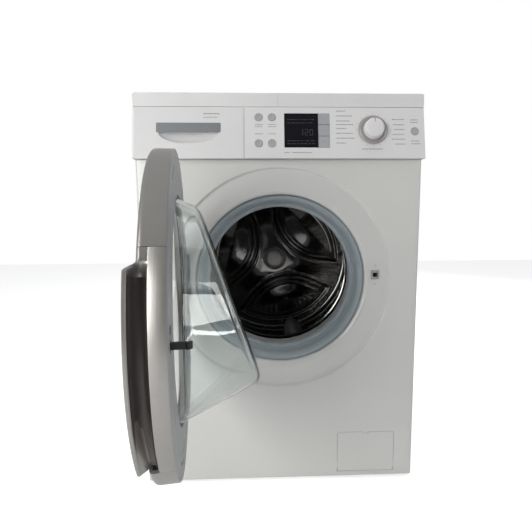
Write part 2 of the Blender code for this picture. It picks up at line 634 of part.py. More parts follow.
def bowl_solid(name, hinge, shrink, start, look=None):
    """A tapered cup whose closed end is a slanted flat face with a rounded edge."""
    deep = 0.20
    radius_at = lambda depth: BOWL_RIM_RADIUS - BOWL_TAPER * (depth - BOWL_RIM_DEPTH) - shrink
    normal = Vector((0, BOWL_FACE_SLOPE, 1)).normalized()
    face_depth = BOWL_FACE_DEPTH - shrink * math.hypot(1, BOWL_FACE_SLOPE)

    def build(cage):
        bmesh.ops.create_cone(cage, cap_ends=True, segments=FINE, radius1=radius_at(start),
                              radius2=radius_at(deep), depth=deep - start)
        bmesh.ops.translate(cage, vec=(0, 0, (start + deep) / 2), verts=cage.verts)
        everything = cage.verts[:] + cage.edges[:] + cage.faces[:]
        # local Y points down once the cup lies along the door's inward direction
        sliced = bmesh.ops.bisect_plane(cage, geom=everything, plane_co=(0, 0, face_depth),
                                        plane_no=(0, -normal.y, normal.z), clear_outer=True)
        rim = [item for item in sliced["geom_cut"] if isinstance(item, bmesh.types.BMEdge)]
        bmesh.ops.edgeloop_fill(cage, edges=rim)
        bmesh.ops.bevel(cage, geom=rim, offset=0.0150 - shrink, segments=3, profile=0.5, affect="EDGES")

    return place(name, mesh_from(name, build), look, hinge, (DOOR_CENTRE, 0, 0), ALONG_Y)


def door_glass(hinge):
    glass = bowl_solid("door_glass", hinge, 0.0, BOWL_RIM_DEPTH, GLASS)
    flange = turned("bowl_flange", [(0.1600, 0.0131), (0.1795, 0.0131), (0.1795, 0.0165),
                                    (0.1600, 0.0165)],
                    parent=hinge, location=(DOOR_CENTRE, 0, 0), segments=FINE)
    hollow = bowl_solid("bowl_hollow", hinge, BOWL_WALL, 0.0)
    fuse(glass, flange)
    cut(glass, hollow)


def hinge_bracket(hinge_y):
    """Plate on the recess floor with two lugs that carry the door's hinge arm."""
    plate = block("hinge_bracket", at(-0.2240, DISH_DEPTH - GAP - 0.0012, AXIS_Z - 0.0605),
                  at(-0.1930, DISH_DEPTH - GAP, AXIS_Z + 0.0605), ZINC)
    for side in (-1, 1):
        low, high = sorted((AXIS_Z + side * LUG_LOW, AXIS_Z + side * LUG_HIGH))
        lug = block(f"lug_{side}", (HINGE_X - 0.0024, hinge_y, low),
                    (HINGE_X + 0.0024, FRONT_Y + DISH_DEPTH - 0.0008, high))
        knuckle = cylinder(f"knuckle_{side}", 0.0042, low, high, location=(HINGE_X, hinge_y, 0))
        fuse(lug, knuckle)
        fuse(plate, lug)


def door_lock():
    x, z = LOCK_X, AXIS_Z + LOCK_RISE
    housing = block("door_lock", at(x - 0.0125, DISH_DEPTH + SHEET + GAP, z - 0.040),
                    at(x + 0.022, 0.042, z + 0.040),
                    GREY)
    neck = block("lock_neck", at(x - 0.0074, DISH_DEPTH - 0.0010, z - 0.0074),
                 at(x + 0.0074, 0.012, z + 0.0074))
    plate = block("lock_plate", at(x - 0.0090, DISH_DEPTH - GAP - 0.0010, z - 0.0100),
                  at(x + 0.0090, DISH_DEPTH - GAP, z + 0.0100))
    mouth = block("lock_mouth", at(x - 0.0048, -0.01, z - 0.0048), at(x + 0.0060, 0.036, z + 0.0048))
    fuse(housing, neck, plate)
    cut(housing, mouth)


# ---- gasket, tub and drum -----------------------------------------------------------
def gasket():
    """Rubber bellows from the porthole rim to the tub's neck."""
    path = [(PORTHOLE_RADIUS - GAP, 0.0120), (0.1790, 0.0285), (0.1680, 0.0440), (0.1600, 0.0520),
            (0.1790, 0.0640), (0.1790, 0.0760), (0.1776, 0.0900), (0.1776, 0.1160)]
    turned("gasket", shell_profile(path, 0.0030), RUBBER, location=DRUM_AXIS, segments=FINE)


def tub():
    wall, outer = TUB_WALL, TUB_RADIUS
    turned("tub_front", [
        (0.1700, 0.0950), (0.1740, 0.0950), (0.1740, TUB_FRONT), (outer, TUB_FRONT),
        (outer, TUB_JOINT - wall),
        (0.2660, TUB_JOINT - wall), (0.2660, TUB_JOINT), (outer - wall, TUB_JOINT),
        (outer - wall, TUB_FRONT + wall),
        (0.1700, TUB_FRONT + wall)],
        TUB_PLASTIC, location=DRUM_AXIS, segments=FINE)
    start = TUB_JOINT + GAP
    back = turned("tub_rear", [
        (outer - wall, start), (0.2660, start), (0.2660, start + wall), (outer, start + wall),
        (outer, TUB_BACK),
        (0.0400, TUB_BACK), (0.0400, 0.5100), (0.0310, 0.5100), (0.0310, 0.4740), (0.0400, 0.4740),
        (0.0450, TUB_BACK - wall), (outer - wall, TUB_BACK - wall)],
        TUB_PLASTIC, location=DRUM_AXIS, segments=FINE)
    sump = block("sump_outside", at(-0.065, start + wall + 0.001, 0.1790), at(0.065, TUB_BACK, 0.2300))
    well = block("sump_inside", at(-0.062, start + wall + 0.004, 0.1820),
                 at(0.062, TUB_BACK - wall, 0.2300))
    nozzle = cylinder("sump_nozzle", 0.0180, 0.1600, 0.1805, location=at(-0.020, 0.330, 0), segments=16)
    drain = cylinder("sump_drain", 0.0150, 0.1500, 0.1900, location=at(-0.020, 0.330, 0), segments=16)
    bore = cylinder("tub_clear", outer - wall - 0.00005, TUB_JOINT - 0.020, TUB_BACK - wall - 0.0001,
                    rotation=ALONG_Y, location=DRUM_AXIS, segments=FINE)
    slot = block("heater_slot", at(-0.045, TUB_BACK - 0.01, 0.1860), at(0.045, TUB_BACK + 0.01, 0.2040))
    fuse(back, sump, nozzle)
    cut(back, well, drain, bore, slot)
    for side in (-1, 1):
        low, high = sorted((side * (SPRING_X - 0.018), side * (SPRING_X + 0.018)))
        ear = block(f"spring_ear_{side}", at(low, SUSPENSION_DEPTH - 0.016, 0.6100),
                    at(high, SUSPENSION_DEPTH + 0.016, 0.6450))
        fuse(back, ear)
    lean = math.atan2(MOTOR_X, AXIS_Z - MOTOR_Z)
    reach = math.hypot(MOTOR_X, AXIS_Z - MOTOR_Z) - MOTOR_RADIUS - 0.0006
    for index, depth in enumerate((0.350, 0.450)):
        lug = block(f"motor_lug_{index}", at(-0.025, depth, AXIS_Z - reach),
                    at(0.025, depth + 0.015, AXIS_Z - outer + 0.002),
                    origin=at(0, depth, AXIS_Z), turn=(0, -lean, 0))
        fuse(back, lug)
    cut(back, cylinder("tub_clear_again", outer - wall - 0.00010, TUB_JOINT - 0.021,
                       TUB_BACK - wall - 0.0002,
                       rotation=ALONG_Y, location=DRUM_AXIS, segments=FINE))


def counterweights():
    turned("counterweight_front", [(0.1845, 0.0800), (0.2460, 0.0800), (0.2460, TUB_FRONT - GAP),
                                   (0.1845, TUB_FRONT - GAP)], CONCRETE, location=DRUM_AXIS)
    top = block("counterweight_top", at(-0.140, 0.300, 0.6600), at(0.140, 0.360, 0.7650), CONCRETE)
    saddle = cylinder("weight_saddle", TUB_RADIUS + GAP * 3, 0.2, 0.5, rotation=ALONG_Y,
                      location=DRUM_AXIS,
                      segments=FINE)
    cut(top, saddle)


def drum(spin):
    """Stainless drum: open front with a rolled lip, plain shell and dished rear wall."""
    path = [(0.1570, 0.1500), (0.1590, 0.1425), (0.2250, 0.1470), (DRUM_RADIUS, 0.1600),
            (DRUM_RADIUS, 0.4320), (0.2300, 0.4400), (0.1900, 0.4400), (0.0350, 0.4180), (0.0, 0.4180)]
    inner = offset_path(path, -DRUM_SHEET)
    turned("drum_shell", inner[::-1] + path, STAINLESS, spin, (0, 0, 0), segments=FINE)

    spider = turned("drum_spider", [(0, 0.4440), (0.0450, 0.4440), (0.0450, 0.4640), (0.0250, 0.4720),
                                    (0.0150, 0.4720), (0.0150, 0.5340), (0, 0.5340)],
                    ALUMINIUM, spin, (0, 0, 0), segments=24)
    for index in range(3):
        angle = STAR_ANGLE + index * math.tau / 3
        arm = block(f"spider_arm_{index}", (0.02, 0.4440, -0.018), (0.224, 0.4560, 0.018), parent=spin,
                    origin=(0, 0.450, 0), turn=(0, -angle, 0))
        fuse(spider, arm)
        lifter(index, angle + math.pi / 3, spin)


def lifter(index, angle, spin):
    """Moulded paddle on the drum's inside, narrower at its crest."""
    base, crest = DRUM_RADIUS - DRUM_SHEET - 0.0022, DRUM_RADIUS - 0.047

    def build(cage):
        bmesh.ops.create_cube(cage, size=1.0)
        for corner in cage.verts:
            at_base = corner.co.x > 0
            corner.co.x = base if at_base else crest
            corner.co.z *= 0.058 if at_base else 0.022
            middle, length = 0.295, 0.250 if at_base else 0.215
            corner.co.y = middle + corner.co.y * length
        at_crest = [e for e in cage.edges if all(v.co.x < crest + 0.001 for v in e.verts)]
        bmesh.ops.bevel(cage, geom=at_crest,
                        offset=0.006, segments=2, profile=0.5, affect="EDGES")

    place(f"drum_lifter_{index + 1}", mesh_from("drum_lifter", build), LIFTER_GREY, spin, (0, 0, 0),
          (0, -angle, 0))


def drum_drive(spin):
    turned("drum_bearing", [(0.0153, 0.4745), (0.0307, 0.4745), (0.0307, 0.5085), (0.0153, 0.5085)],
           STEEL,
           location=DRUM_AXIS, segments=24)
    rim = PULLEY_RADIUS
    pulley = turned("drum_pulley", [
        (0.0153, 0.5120), (0.0260, 0.5120), (0.0260, 0.5190), (rim - 0.012, 0.5190),
        (rim - 0.012, 0.5135),
        (rim + 0.0025, 0.5135), (rim + 0.0025, BELT_FRONT - 0.0003), (rim, BELT_FRONT), (rim, BELT_BACK),
        (rim + 0.0025, BELT_BACK + 0.0003), (rim + 0.0025, 0.5285), (rim - 0.012, 0.5285),
        (rim - 0.012, 0.5225), (0.0260, 0.5225), (0.0260, 0.5300), (0.0153, 0.5300)],
        ALUMINIUM, spin, (0, 0, 0), segments=COARSE)
    for index in range(5):
        angle = index * math.tau / 5
        hole = cylinder(f"pulley_hole_{index}", 0.030, 0.505, 0.535, parent=spin, rotation=ALONG_Y,
                        location=(0.077 * math.cos(angle), 0, 0.077 * math.sin(angle)), segments=10)
        cut(pulley, hole)


def motor():
    r = MOTOR_RADIUS
    turned("motor", [(0, 0.3350), (r - 0.006, 0.3350), (r, 0.3410), (r, 0.4780), (0.0090, 0.4780),
                     (0.0090, 0.4740),
                     (r - 0.006, 0.4740), (r - 0.006, 0.3390), (0, 0.3390)],
           MOTOR_PAINT, location=axis_at(MOTOR_X, MOTOR_Z), segments=28)
    p = MOTOR_PULLEY_RADIUS
    turned("motor_rotor", [
        (0, 0.3450), (0.0060, 0.3450), (0.0060, 0.3550), (0.0480, 0.3550), (0.0480, 0.4550),
        (0.0060, 0.4550),
        (0.0060, 0.5110), (p + 0.0025, 0.5110), (p + 0.0025, BELT_FRONT - 0.0003), (p, BELT_FRONT),
        (p, BELT_BACK),
        (p + 0.0025, BELT_BACK + 0.0003), (p + 0.0025, 0.5300), (0, 0.5300)],
        STEEL, location=axis_at(MOTOR_X, MOTOR_Z), segments=20)


def belt_loop(clearance):
    """Outline of a belt round both pulleys, clearance outside them, as (x, z) points."""
    big, small = PULLEY_RADIUS + clearance, MOTOR_PULLEY_RADIUS + clearance
    span = math.hypot(MOTOR_X, MOTOR_Z - AXIS_Z)
    heading = math.atan2(MOTOR_Z - AXIS_Z, MOTOR_X)
    spread = math.acos((big - small) / span)
    points = []
    for i in range(29):
        angle = heading + spread + (math.tau - 2 * spread) * i / 28
        points.append((big * math.cos(angle), AXIS_Z + big * math.sin(angle)))
    for i in range(9):
        angle = heading - spread + 2 * spread * i / 8
        points.append((MOTOR_X + small * math.cos(angle), MOTOR_Z + small * math.sin(angle)))
    return points


def belt():
    curve = bpy.data.curves.new("belt", "CURVE")
    curve.dimensions = "2D"
    curve.fill_mode = "BOTH"
    curve.extrude = (BELT_BACK - BELT_FRONT - 0.001) / 2
    for clearance in (0.0025, 0.0006):
        spline = curve.splines.new("POLY")
        points = belt_loop(clearance)
        spline.points.add(len(points) - 1)
        for target, (x, z) in zip(spline.points, points):
            target.co = (x, z, 0, 1)
        spline.use_cyclic_u = True
    solid_from_curve("belt", curve, BELT_RUBBER, at(0, (BELT_FRONT + BELT_BACK) / 2, 0),
                     (math.pi / 2, 0, 0))


def suspension():
    for side, name in ((-1, "left"), (1, "right")):
        x = side * DAMPER_X
        turned(f"damper_cylinder_{name}", [(0, 0.0218), (0.0140, 0.0218), (0.0140, 0.1500),
                                           (0.0072, 0.1500),
                                           (0.0072, 0.0700), (0, 0.0700)],
               GREY, location=at(x, DAMPER_DEPTH, 0), rotation=(0, 0, 0), segments=16)
        turned(f"damper_rod_{name}", [(0, 0.0950), (0.0060, 0.0950), (0.0060, 0.2560), (0.0110, 0.2600),
                                      (0.0110, 0.2735), (0, 0.2735)],
               STEEL, location=at(x, DAMPER_DEPTH, 0), rotation=(0, 0, 0), segments=14)
        coil(f"spring_{name}", side * SPRING_X)


def coil(name, x):
    turns, per_turn, low, high = 6, 7, 0.6470, 0.7880
    points = []
    for i in range(turns * per_turn + 1):
        angle = i * math.tau / per_turn
        rise = low + (high - low) * i / (turns * per_turn)
        points.append((x + 0.0125 * math.cos(angle),
                       FRONT_Y + SUSPENSION_DEPTH + 0.0125 * math.sin(angle), rise))
    tube(name, points, 0.0016, STEEL, sides=1)


def heater():
    legs = [(-0.030, 0.4800), (-0.030, 0.3300), (-0.022, 0.3180), (-0.008, 0.3120), (0.008, 0.3120),
            (0.022, 0.3180), (0.030, 0.3300), (0.030, 0.4800)]
    element = tube("heater", [at(x, depth, 0.1950) for x, depth in legs], 0.0035, STEEL)
    plug = block("heater_plug", at(-0.0446, TUB_BACK - 0.007, 0.1864),
                 at(0.0446, TUB_BACK + 0.006, 0.2036))
    fuse(element, plug)


# ---- water in and out ---------------------------------------------------------------
def inlet_valve():
    turned("inlet_valve", [(0, 0.5050), (0.0150, 0.5050), (0.0150, 0.5300), (0.0210, 0.5300),
                           (0.0210, DEPTH - 0.0017),
                           (0.0132, DEPTH - 0.0017), (0.0132, DEPTH + 0.0180), (0.0095, DEPTH + 0.0180),
                           (0.0095, 0.5350), (0, 0.5350)],
           PUMP_PLASTIC, location=axis_at(VALVE_X, VALVE_Z), segments=20)


def drain_pump():
    pump = turned("drain_pump", [
        (0, 0.1050), (0.0285, 0.1050), (0.0285, 0.0345), (0.0320, 0.0345), (0.0320, 0.1100),
        (0.0360, 0.1120),
        (0.0360, 0.1500), (0.0250, 0.1530), (0.0250, 0.2000), (0, 0.2000)],
        PUMP_PLASTIC, location=axis_at(PUMP_X, PUMP_Z), segments=24)
    stub = cylinder("pump_stub", 0.0160, -0.0410, -0.0200, location=at(PUMP_X, 0.131, PUMP_Z),
                    rotation=(0, math.pi / 2, 0))
    stand = block("pump_stand", at(PUMP_X - 0.022, 0.112, 0.0218), at(PUMP_X + 0.022, 0.148, 0.0450))
    fuse(pump, stub, stand)
    cap = turned("filter_cap", [(0, 0.0140), (0.0300, 0.0140), (0.0315, 0.0160), (0.0315, 0.0335),
                                (0.0278, 0.0340),
                                (0.0278, 0.0600), (0, 0.0600)],
                 GREY, location=axis_at(PUMP_X, PUMP_Z), segments=24)
    grip = block("cap_grip", at(PUMP_X - 0.0040, 0.0085, PUMP_Z - 0.0240),
                 at(PUMP_X + 0.0040, 0.0150, PUMP_Z + 0.0240))
    fuse(cap, grip)


def sump_hose():
    route = [(-0.020, 0.330, 0.1596), (-0.020, 0.330, 0.1400), (-0.019, 0.325, 0.1230),
             (-0.012, 0.300, 0.1000), (0.010, 0.255, 0.0820),
             (0.035, 0.205, 0.0720), (0.068, 0.160, 0.0670), (0.100, 0.134, PUMP_Z),
             (0.125, 0.131, PUMP_Z), (PUMP_X - 0.0416, 0.131, PUMP_Z)]
    tube("sump_hose", [at(*point) for point in route], 0.0165, BELT_RUBBER)


def service_flap():
    hinge_z = FLAP_LOW[1] + 0.0020
    block("service_flap", at(FLAP_LOW[0], 0.0, FLAP_LOW[1]), at(FLAP_HIGH[0], 0.0022, FLAP_HIGH[1]),
          WHITE,
          origin=at((FLAP_LOW[0] + FLAP_HIGH[0]) / 2, 0.0012, hinge_z))


# ---- assembly -----------------------------------------------------------------------
def assemble():
    front_panel()
    side_panel(-1, "side_panel_left")
    side_panel(1, "side_panel_right")
    rear_panels()
    base_plate()
    worktop()
    for row, depth in FOOT_DEPTHS.items():
        for side, name in ((-1, "left"), (1, "right")):
            foot(f"foot_{row}_{name}", side * FOOT_X, depth)

    fascia_plane = pivot("fascia_plane", FASCIA_ORIGIN, (-FASCIA_SLANT, 0, 0))
    control_fascia(fascia_plane)
    controls(fascia_plane)
    drawer()
    dispenser_housing()

    hinge_y = FRONT_Y - HINGE_PROUD
    door_hinge = pivot("door_hinge_axis", (HINGE_X, hinge_y, AXIS_Z), (0, 0, -DOOR_OPEN))
    door(door_hinge)
    hinge_bracket(hinge_y)
    door_lock()

    drum_spin = pivot("drum_axis", DRUM_AXIS)
    gasket()
    tub()
    counterweights()
    drum(drum_spin)
    drum_drive(drum_spin)
    motor()
    belt()
    suspension()
    heater()
    inlet_valve()
    drain_pump()
    sump_hose()
    service_flap()


def settle_modifiers():
    """Turns each part's modifiers into its mesh, smooth where it is round."""
    graph = bpy.context.evaluated_depsgraph_get()
    settled = [(part, bpy.data.meshes.new_from_object(part.evaluated_get(graph)))
               for part in PARTS.objects if part.type == "MESH"]
    for part, mesh in settled:
        part.modifiers.clear()
        part.data = mesh
        mesh.shade_smooth()
        mesh.set_sharp_from_angle(angle=math.radians(35))


assemble()
settle_modifiers()
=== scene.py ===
"""Finishes and fine pieces of the front load washing machine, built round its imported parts.

Pieces round an axis are drawn with local Y along it. Door pieces are drawn from the ring's
centre, with x towards the free edge, y into the machine and z up. Control pieces lie on the
slanted fascia, with z up along the slant and y into the machine.
"""
import json
import math
import random

import bmesh
import bpy
from mathutils import Matrix, Vector


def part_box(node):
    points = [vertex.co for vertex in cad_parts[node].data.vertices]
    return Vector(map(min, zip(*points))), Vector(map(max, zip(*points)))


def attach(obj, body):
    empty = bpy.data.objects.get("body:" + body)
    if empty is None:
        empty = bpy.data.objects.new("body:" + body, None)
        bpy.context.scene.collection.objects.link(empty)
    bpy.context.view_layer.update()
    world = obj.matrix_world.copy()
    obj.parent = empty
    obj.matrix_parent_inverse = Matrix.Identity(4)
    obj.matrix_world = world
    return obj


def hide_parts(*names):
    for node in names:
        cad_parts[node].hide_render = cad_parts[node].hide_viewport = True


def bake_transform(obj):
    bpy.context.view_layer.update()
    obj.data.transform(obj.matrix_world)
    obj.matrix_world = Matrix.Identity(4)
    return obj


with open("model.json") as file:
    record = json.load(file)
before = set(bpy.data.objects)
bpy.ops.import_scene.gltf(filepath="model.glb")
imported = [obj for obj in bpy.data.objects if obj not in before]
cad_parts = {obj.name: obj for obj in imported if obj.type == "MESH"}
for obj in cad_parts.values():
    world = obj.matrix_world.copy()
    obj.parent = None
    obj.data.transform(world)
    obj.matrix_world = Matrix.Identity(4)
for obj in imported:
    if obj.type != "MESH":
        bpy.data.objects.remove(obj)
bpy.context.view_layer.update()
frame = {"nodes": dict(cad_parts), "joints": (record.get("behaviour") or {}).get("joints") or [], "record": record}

# ---- measures, in metres ---------------------------------------------------------------
JOINTS = {joint["name"]: joint for joint in frame["joints"]}
PANEL_LOW, PANEL_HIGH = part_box("front_panel")
FRONT = PANEL_LOW.y
HALF = PANEL_HIGH.x
FOLD = PANEL_HIGH.y - FRONT
AXIS_Z = (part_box("drum_shell")[0].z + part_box("drum_shell")[1].z) / 2
HINGE = Vector(JOINTS["door_hinge"]["pos_m"])
DOOR_OPEN = math.radians(81.3)
DOOR_CENTRE = -HINGE.x
SHEET = 0.0012
SLANT = math.radians(10.3)
FASCIA_PROUD = 0.0163
FASCIA_LOW = 0.7143
FASCIA_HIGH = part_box("control_fascia")[1].z
RING_RADIUS = 0.2335
RING_INSIDE, RING_OUTSIDE = 0.0234, -0.0061
HANDLE_TOP, HANDLE_BOTTOM = 28.0, -36.0          # degrees on the ring
LOCK_RISE = 0.009                                # of the lock and the hook over the drum's axis
LOCK = Vector((0.2055, 0.0, AXIS_Z + LOCK_RISE))
KNOB = (0.1912, 0.0601)
START = (0.2779, 0.0574)
BUTTONS = {"upper_left": (-0.0441, 0.0862), "upper_right": (-0.0170, 0.0862),
           "lower_left": (-0.0441, 0.0316), "lower_right": (-0.0170, 0.0316)}
LENS_LOW, LENS_HIGH = (0.0082, 0.0230), (0.0774, 0.0942)
KEYS, KEY_GAP = ("lower", "middle", "upper"), 0.0008
KEY_STEP = (LENS_HIGH[1] - LENS_LOW[1] + KEY_GAP) / len(KEYS)
STAR_ANGLE = math.radians(104.0)
DRUM_WALL, DRUM_WALL_START, DRUM_WALL_END = 0.2384, 0.1760, 0.4040
FINE = 160                                       # steps round a turned piece

DRUM_SPACE = Matrix.Translation((0, FRONT, AXIS_Z))
DOOR_SPACE = (Matrix.Translation(HINGE) @ Matrix.Rotation(-DOOR_OPEN, 4, "Z")
              @ Matrix.Translation((DOOR_CENTRE, 0, 0)))
FASCIA_SPACE = (Matrix.Translation((0, FRONT - FASCIA_PROUD, FASCIA_LOW))
                @ Matrix.Rotation(-SLANT, 4, "X"))
FLAT = Matrix.Identity(4)
TURNED = Matrix.Rotation(math.pi, 4, "Z")


# ---- shared surface effects ------------------------------------------------------------
def effect(name, inputs, outputs):
    """An empty node group with its sockets; returns the group, its input and its output node."""
    group = bpy.data.node_groups.new(name, "ShaderNodeTree")
    for label, kind, default in inputs:
        socket = group.interface.new_socket(label, in_out="INPUT", socket_type="NodeSocket" + kind)
        if default is not None:
            socket.default_value = default
    for label, kind in outputs:
        group.interface.new_socket(label, in_out="OUTPUT", socket_type="NodeSocket" + kind)
    return group, group.nodes.new("NodeGroupInput"), group.nodes.new("NodeGroupOutput")


def node(tree, kind, settings=None, **wires):
    """Adds a node. Each wire is a socket to link from or a plain value; its name is the input's
    label, or its place as _0, _1 and so on."""
    made = tree.nodes.new("ShaderNode" + kind)
    for key, value in (settings or {}).items():
        setattr(made, key, value)
    for label, source in wires.items():
        socket = made.inputs[int(label[1:])] if label[0] == "_" else made.inputs[label]
        if isinstance(source, bpy.types.NodeSocket):
            tree.links.new(source, socket)
        else:
            socket.default_value = source
    return made


def maths(tree, operation, first, second=0.0, clamp=False):
    """Output of a Math node on two sockets or plain values."""
    settings = {"operation": operation, "use_clamp": clamp}
    return node(tree, "Math", settings, _0=first, _1=second).outputs[0]


def build_mottle():
    """Slow drift between two near colours, with roughness that follows it."""
    group, given, out = effect("mottle", [
        ("Vector", "Vector", None), ("Colour", "Color", None), ("Second", "Color", None),
        ("Scale", "Float", 8.0), ("Roughness", "Float", 0.4), ("Spread", "Float", 0.1)],
        [("Colour", "Color"), ("Roughness", "Float")])
    cloud = node(group, "TexNoise", Vector=given.outputs["Vector"], Scale=given.outputs["Scale"],
                 Detail=6.0, Roughness=0.6)
    share = node(group, "MapRange", None, _0=cloud.outputs[0], _1=0.32, _2=0.68).outputs[0]
    blend = node(group, "Mix", {"data_type": "RGBA"}, _0=share, _6=given.outputs["Colour"],
                 _7=given.outputs["Second"])
    drift = maths(group, "MULTIPLY", maths(group, "SUBTRACT", share, 0.5), given.outputs["Spread"])
    group.links.new(blend.outputs[2], out.inputs["Colour"])
    group.links.new(maths(group, "ADD", drift, given.outputs["Roughness"], True), out.inputs["Roughness"])
    return group


def build_grain():
    """Fine even texture of a moulded, cast or sprayed skin."""
    group, given, out = effect("grain", [
        ("Vector", "Vector", None), ("Scale", "Float", 900.0), ("Height", "Float", 0.1)],
        [("Normal", "Vector")])
    speck = node(group, "TexNoise", Vector=given.outputs["Vector"], Scale=given.outputs["Scale"],
                 Detail=3.0)
    bump = node(group, "Bump", Height=speck.outputs[0], Strength=given.outputs["Height"], Distance=0.001)
    group.links.new(bump.outputs[0], out.inputs["Normal"])
    return group


def build_turning():
    """Fine lines that run round the local Y axis, as brushing or a tool leaves them."""
    group, given, out = effect("turning lines", [
        ("Vector", "Vector", None), ("Scale", "Float", 900.0), ("Sweep", "Float", 3.0),
        ("Height", "Float", 0.1)], [("Lines", "Float"), ("Normal", "Vector")])
    parts = node(group, "SeparateXYZ", _0=given.outputs["Vector"])
    x, y, z = parts.outputs
    radius = maths(group, "POWER", maths(group, "ADD", maths(group, "POWER", x, 2.0),
                                         maths(group, "POWER", z, 2.0)), 0.5)
    sweep = maths(group, "MULTIPLY", maths(group, "ARCTAN2", z, x), given.outputs["Sweep"])
    across = maths(group, "MULTIPLY", radius, given.outputs["Scale"])
    along = maths(group, "MULTIPLY", y, given.outputs["Scale"])
    place = node(group, "CombineXYZ", _0=across, _1=along, _2=sweep)
    lines = node(group, "TexNoise", Vector=place.outputs[0], Scale=1.0, Detail=2.0)
    bump = node(group, "Bump", Height=lines.outputs[0], Strength=given.outputs["Height"], Distance=0.0005)
    group.links.new(lines.outputs[0], out.inputs["Lines"])
    group.links.new(bump.outputs[0], out.inputs["Normal"])
    return group


def build_dust():
    """Light dust that settles on faces that look up."""
    group, given, out = effect("settled dust", [
        ("Vector", "Vector", None), ("Colour", "Color", None), ("Dust", "Color", (0.5, 0.48, 0.44, 1)),
        ("Amount", "Float", 0.2)], [("Colour", "Color"), ("Mask", "Float")])
    facing = node(group, "SeparateXYZ", _0=node(group, "NewGeometry").outputs["Normal"]).outputs[2]
    patch = node(group, "TexNoise", Vector=given.outputs["Vector"], Scale=24.0, Detail=8.0, Roughness=0.7)
    cover = maths(group, "MULTIPLY", maths(group, "MULTIPLY", facing, patch.outputs[0], True),
                  given.outputs["Amount"], True)
    blend = node(group, "Mix", {"data_type": "RGBA"}, _0=cover, _6=given.outputs["Colour"],
                 _7=given.outputs["Dust"])
    group.links.new(blend.outputs[2], out.inputs["Colour"])
    group.links.new(cover, out.inputs["Mask"])
    return group


MOTTLE, GRAIN, TURNING, DUST = build_mottle(), build_grain(), build_turning(), build_dust()


def use(tree, group, **wires):
    """Places a shared effect in a material; wires are as for node."""
    placed = tree.nodes.new("ShaderNodeGroup")
    placed.node_tree = group
    for label, source in wires.items():
        if isinstance(source, bpy.types.NodeSocket):
            tree.links.new(source, placed.inputs[label])
        else:
            placed.inputs[label].default_value = source
    return placed


LOOKS = {}
for packed in list(bpy.data.materials):
    bpy.data.materials.remove(packed)


def rgb(colour):
    return (*colour, 1.0)


def finish_look(name, colour, second, roughness, spread=0.08, clouds=8.0, grain=900.0, height=0.05,
                dust=0.0, turning=0.0, lines=900.0, axis=(0, 0, 0), **constants):
    """A material from the shared effects. It has turning marks round axis where turning is set,
    and else a fine grain; constants are set straight on the shader's sockets."""
    look = bpy.data.materials.new(name)
    look.use_nodes = True
    tree = look.node_tree
    shader = tree.nodes["Principled BSDF"]
    for label, value in constants.items():
        shader.inputs[label.replace("_", " ")].default_value = value
    place = node(tree, "TexCoord").outputs["Object"]
    skin = use(tree, MOTTLE, Vector=place, Colour=rgb(colour), Second=rgb(second), Scale=clouds,
               Roughness=roughness, Spread=spread)
    tone, rough = skin.outputs
    if dust:
        settled = use(tree, DUST, Vector=place, Colour=tone, Amount=dust)
        tone = settled.outputs["Colour"]
    if turning:
        centred = node(tree, "VectorMath", {"operation": "SUBTRACT"}, _0=place, _1=axis).outputs[0]
        relief = use(tree, TURNING, Vector=centred, Scale=lines, Height=turning)
        rough = maths(tree, "ADD", rough, maths(tree, "MULTIPLY", relief.outputs["Lines"], 0.08), True)
        normal = relief.outputs["Normal"]
    else:
        normal = use(tree, GRAIN, Vector=place, Scale=grain, Height=height).outputs["Normal"]
    tree.links.new(tone, shader.inputs["Base Color"])
    tree.links.new(rough, shader.inputs["Roughness"])
    tree.links.new(normal, shader.inputs["Normal"])
    LOOKS[name] = look


finish_look("white_enamel", (0.64, 0.64, 0.625), (0.66, 0.66, 0.645), 0.24, 0.05, 5.0, 420.0, 0.035,
            Coat_Weight=0.35, Coat_Roughness=0.12)
finish_look("worktop_laminate", (0.66, 0.66, 0.665), (0.69, 0.69, 0.69), 0.34, 0.08, 9.0, 700.0, 0.10,
            dust=0.10)
finish_look("fascia_plastic", (0.65, 0.65, 0.655), (0.67, 0.67, 0.67), 0.36, 0.06, 7.0, 1500.0, 0.06)
finish_look("silver_paint", (0.37, 0.355, 0.34), (0.42, 0.405, 0.39), 0.30, 0.06, 6.0, turning=0.10,
            lines=1400.0, Metallic=0.75)
finish_look("grey_plastic", (0.30, 0.31, 0.32), (0.34, 0.35, 0.36), 0.42, 0.08, 12.0, 1600.0, 0.12)
finish_look("key_grey", (0.34, 0.345, 0.36), (0.37, 0.375, 0.39), 0.34, 0.05, 20.0, 1800.0, 0.06)
# Dark brown-grey of the sheet in the handle's finger hollow: painted shade, not the moulding's own colour.
finish_look("scoop_painted_shade", (0.12, 0.105, 0.10), (0.14, 0.125, 0.12), 0.42, 0.06, 12.0, 1200.0, 0.08,
            Metallic=0.3)
finish_look("black_plastic", (0.012, 0.012, 0.013), (0.02, 0.02, 0.02), 0.36, 0.08, 30.0, 1600.0, 0.12)
finish_look("display_black", (0.008, 0.008, 0.011), (0.010, 0.010, 0.013), 0.08, 0.02, 6.0, 300.0, 0.004,
            Coat_Weight=0.5)
finish_look("gasket_rubber", (0.30, 0.345, 0.375), (0.33, 0.375, 0.40), 0.40, 0.10, 14.0, turning=0.06,
            lines=500.0, axis=(0, FRONT, AXIS_Z), Sheen_Weight=0.15)
finish_look("belt_rubber", (0.018, 0.018, 0.018), (0.03, 0.03, 0.03), 0.65, 0.10, 30.0, turning=0.30,
            lines=900.0)
finish_look("stainless_steel", (0.24, 0.235, 0.23), (0.29, 0.285, 0.28), 0.075, 0.03, 10.0, turning=0.02,
            lines=1600.0, Metallic=1.0)
finish_look("bright_steel", (0.52, 0.52, 0.53), (0.60, 0.60, 0.61), 0.28, 0.10, 24.0, turning=0.15,
            Metallic=1.0)
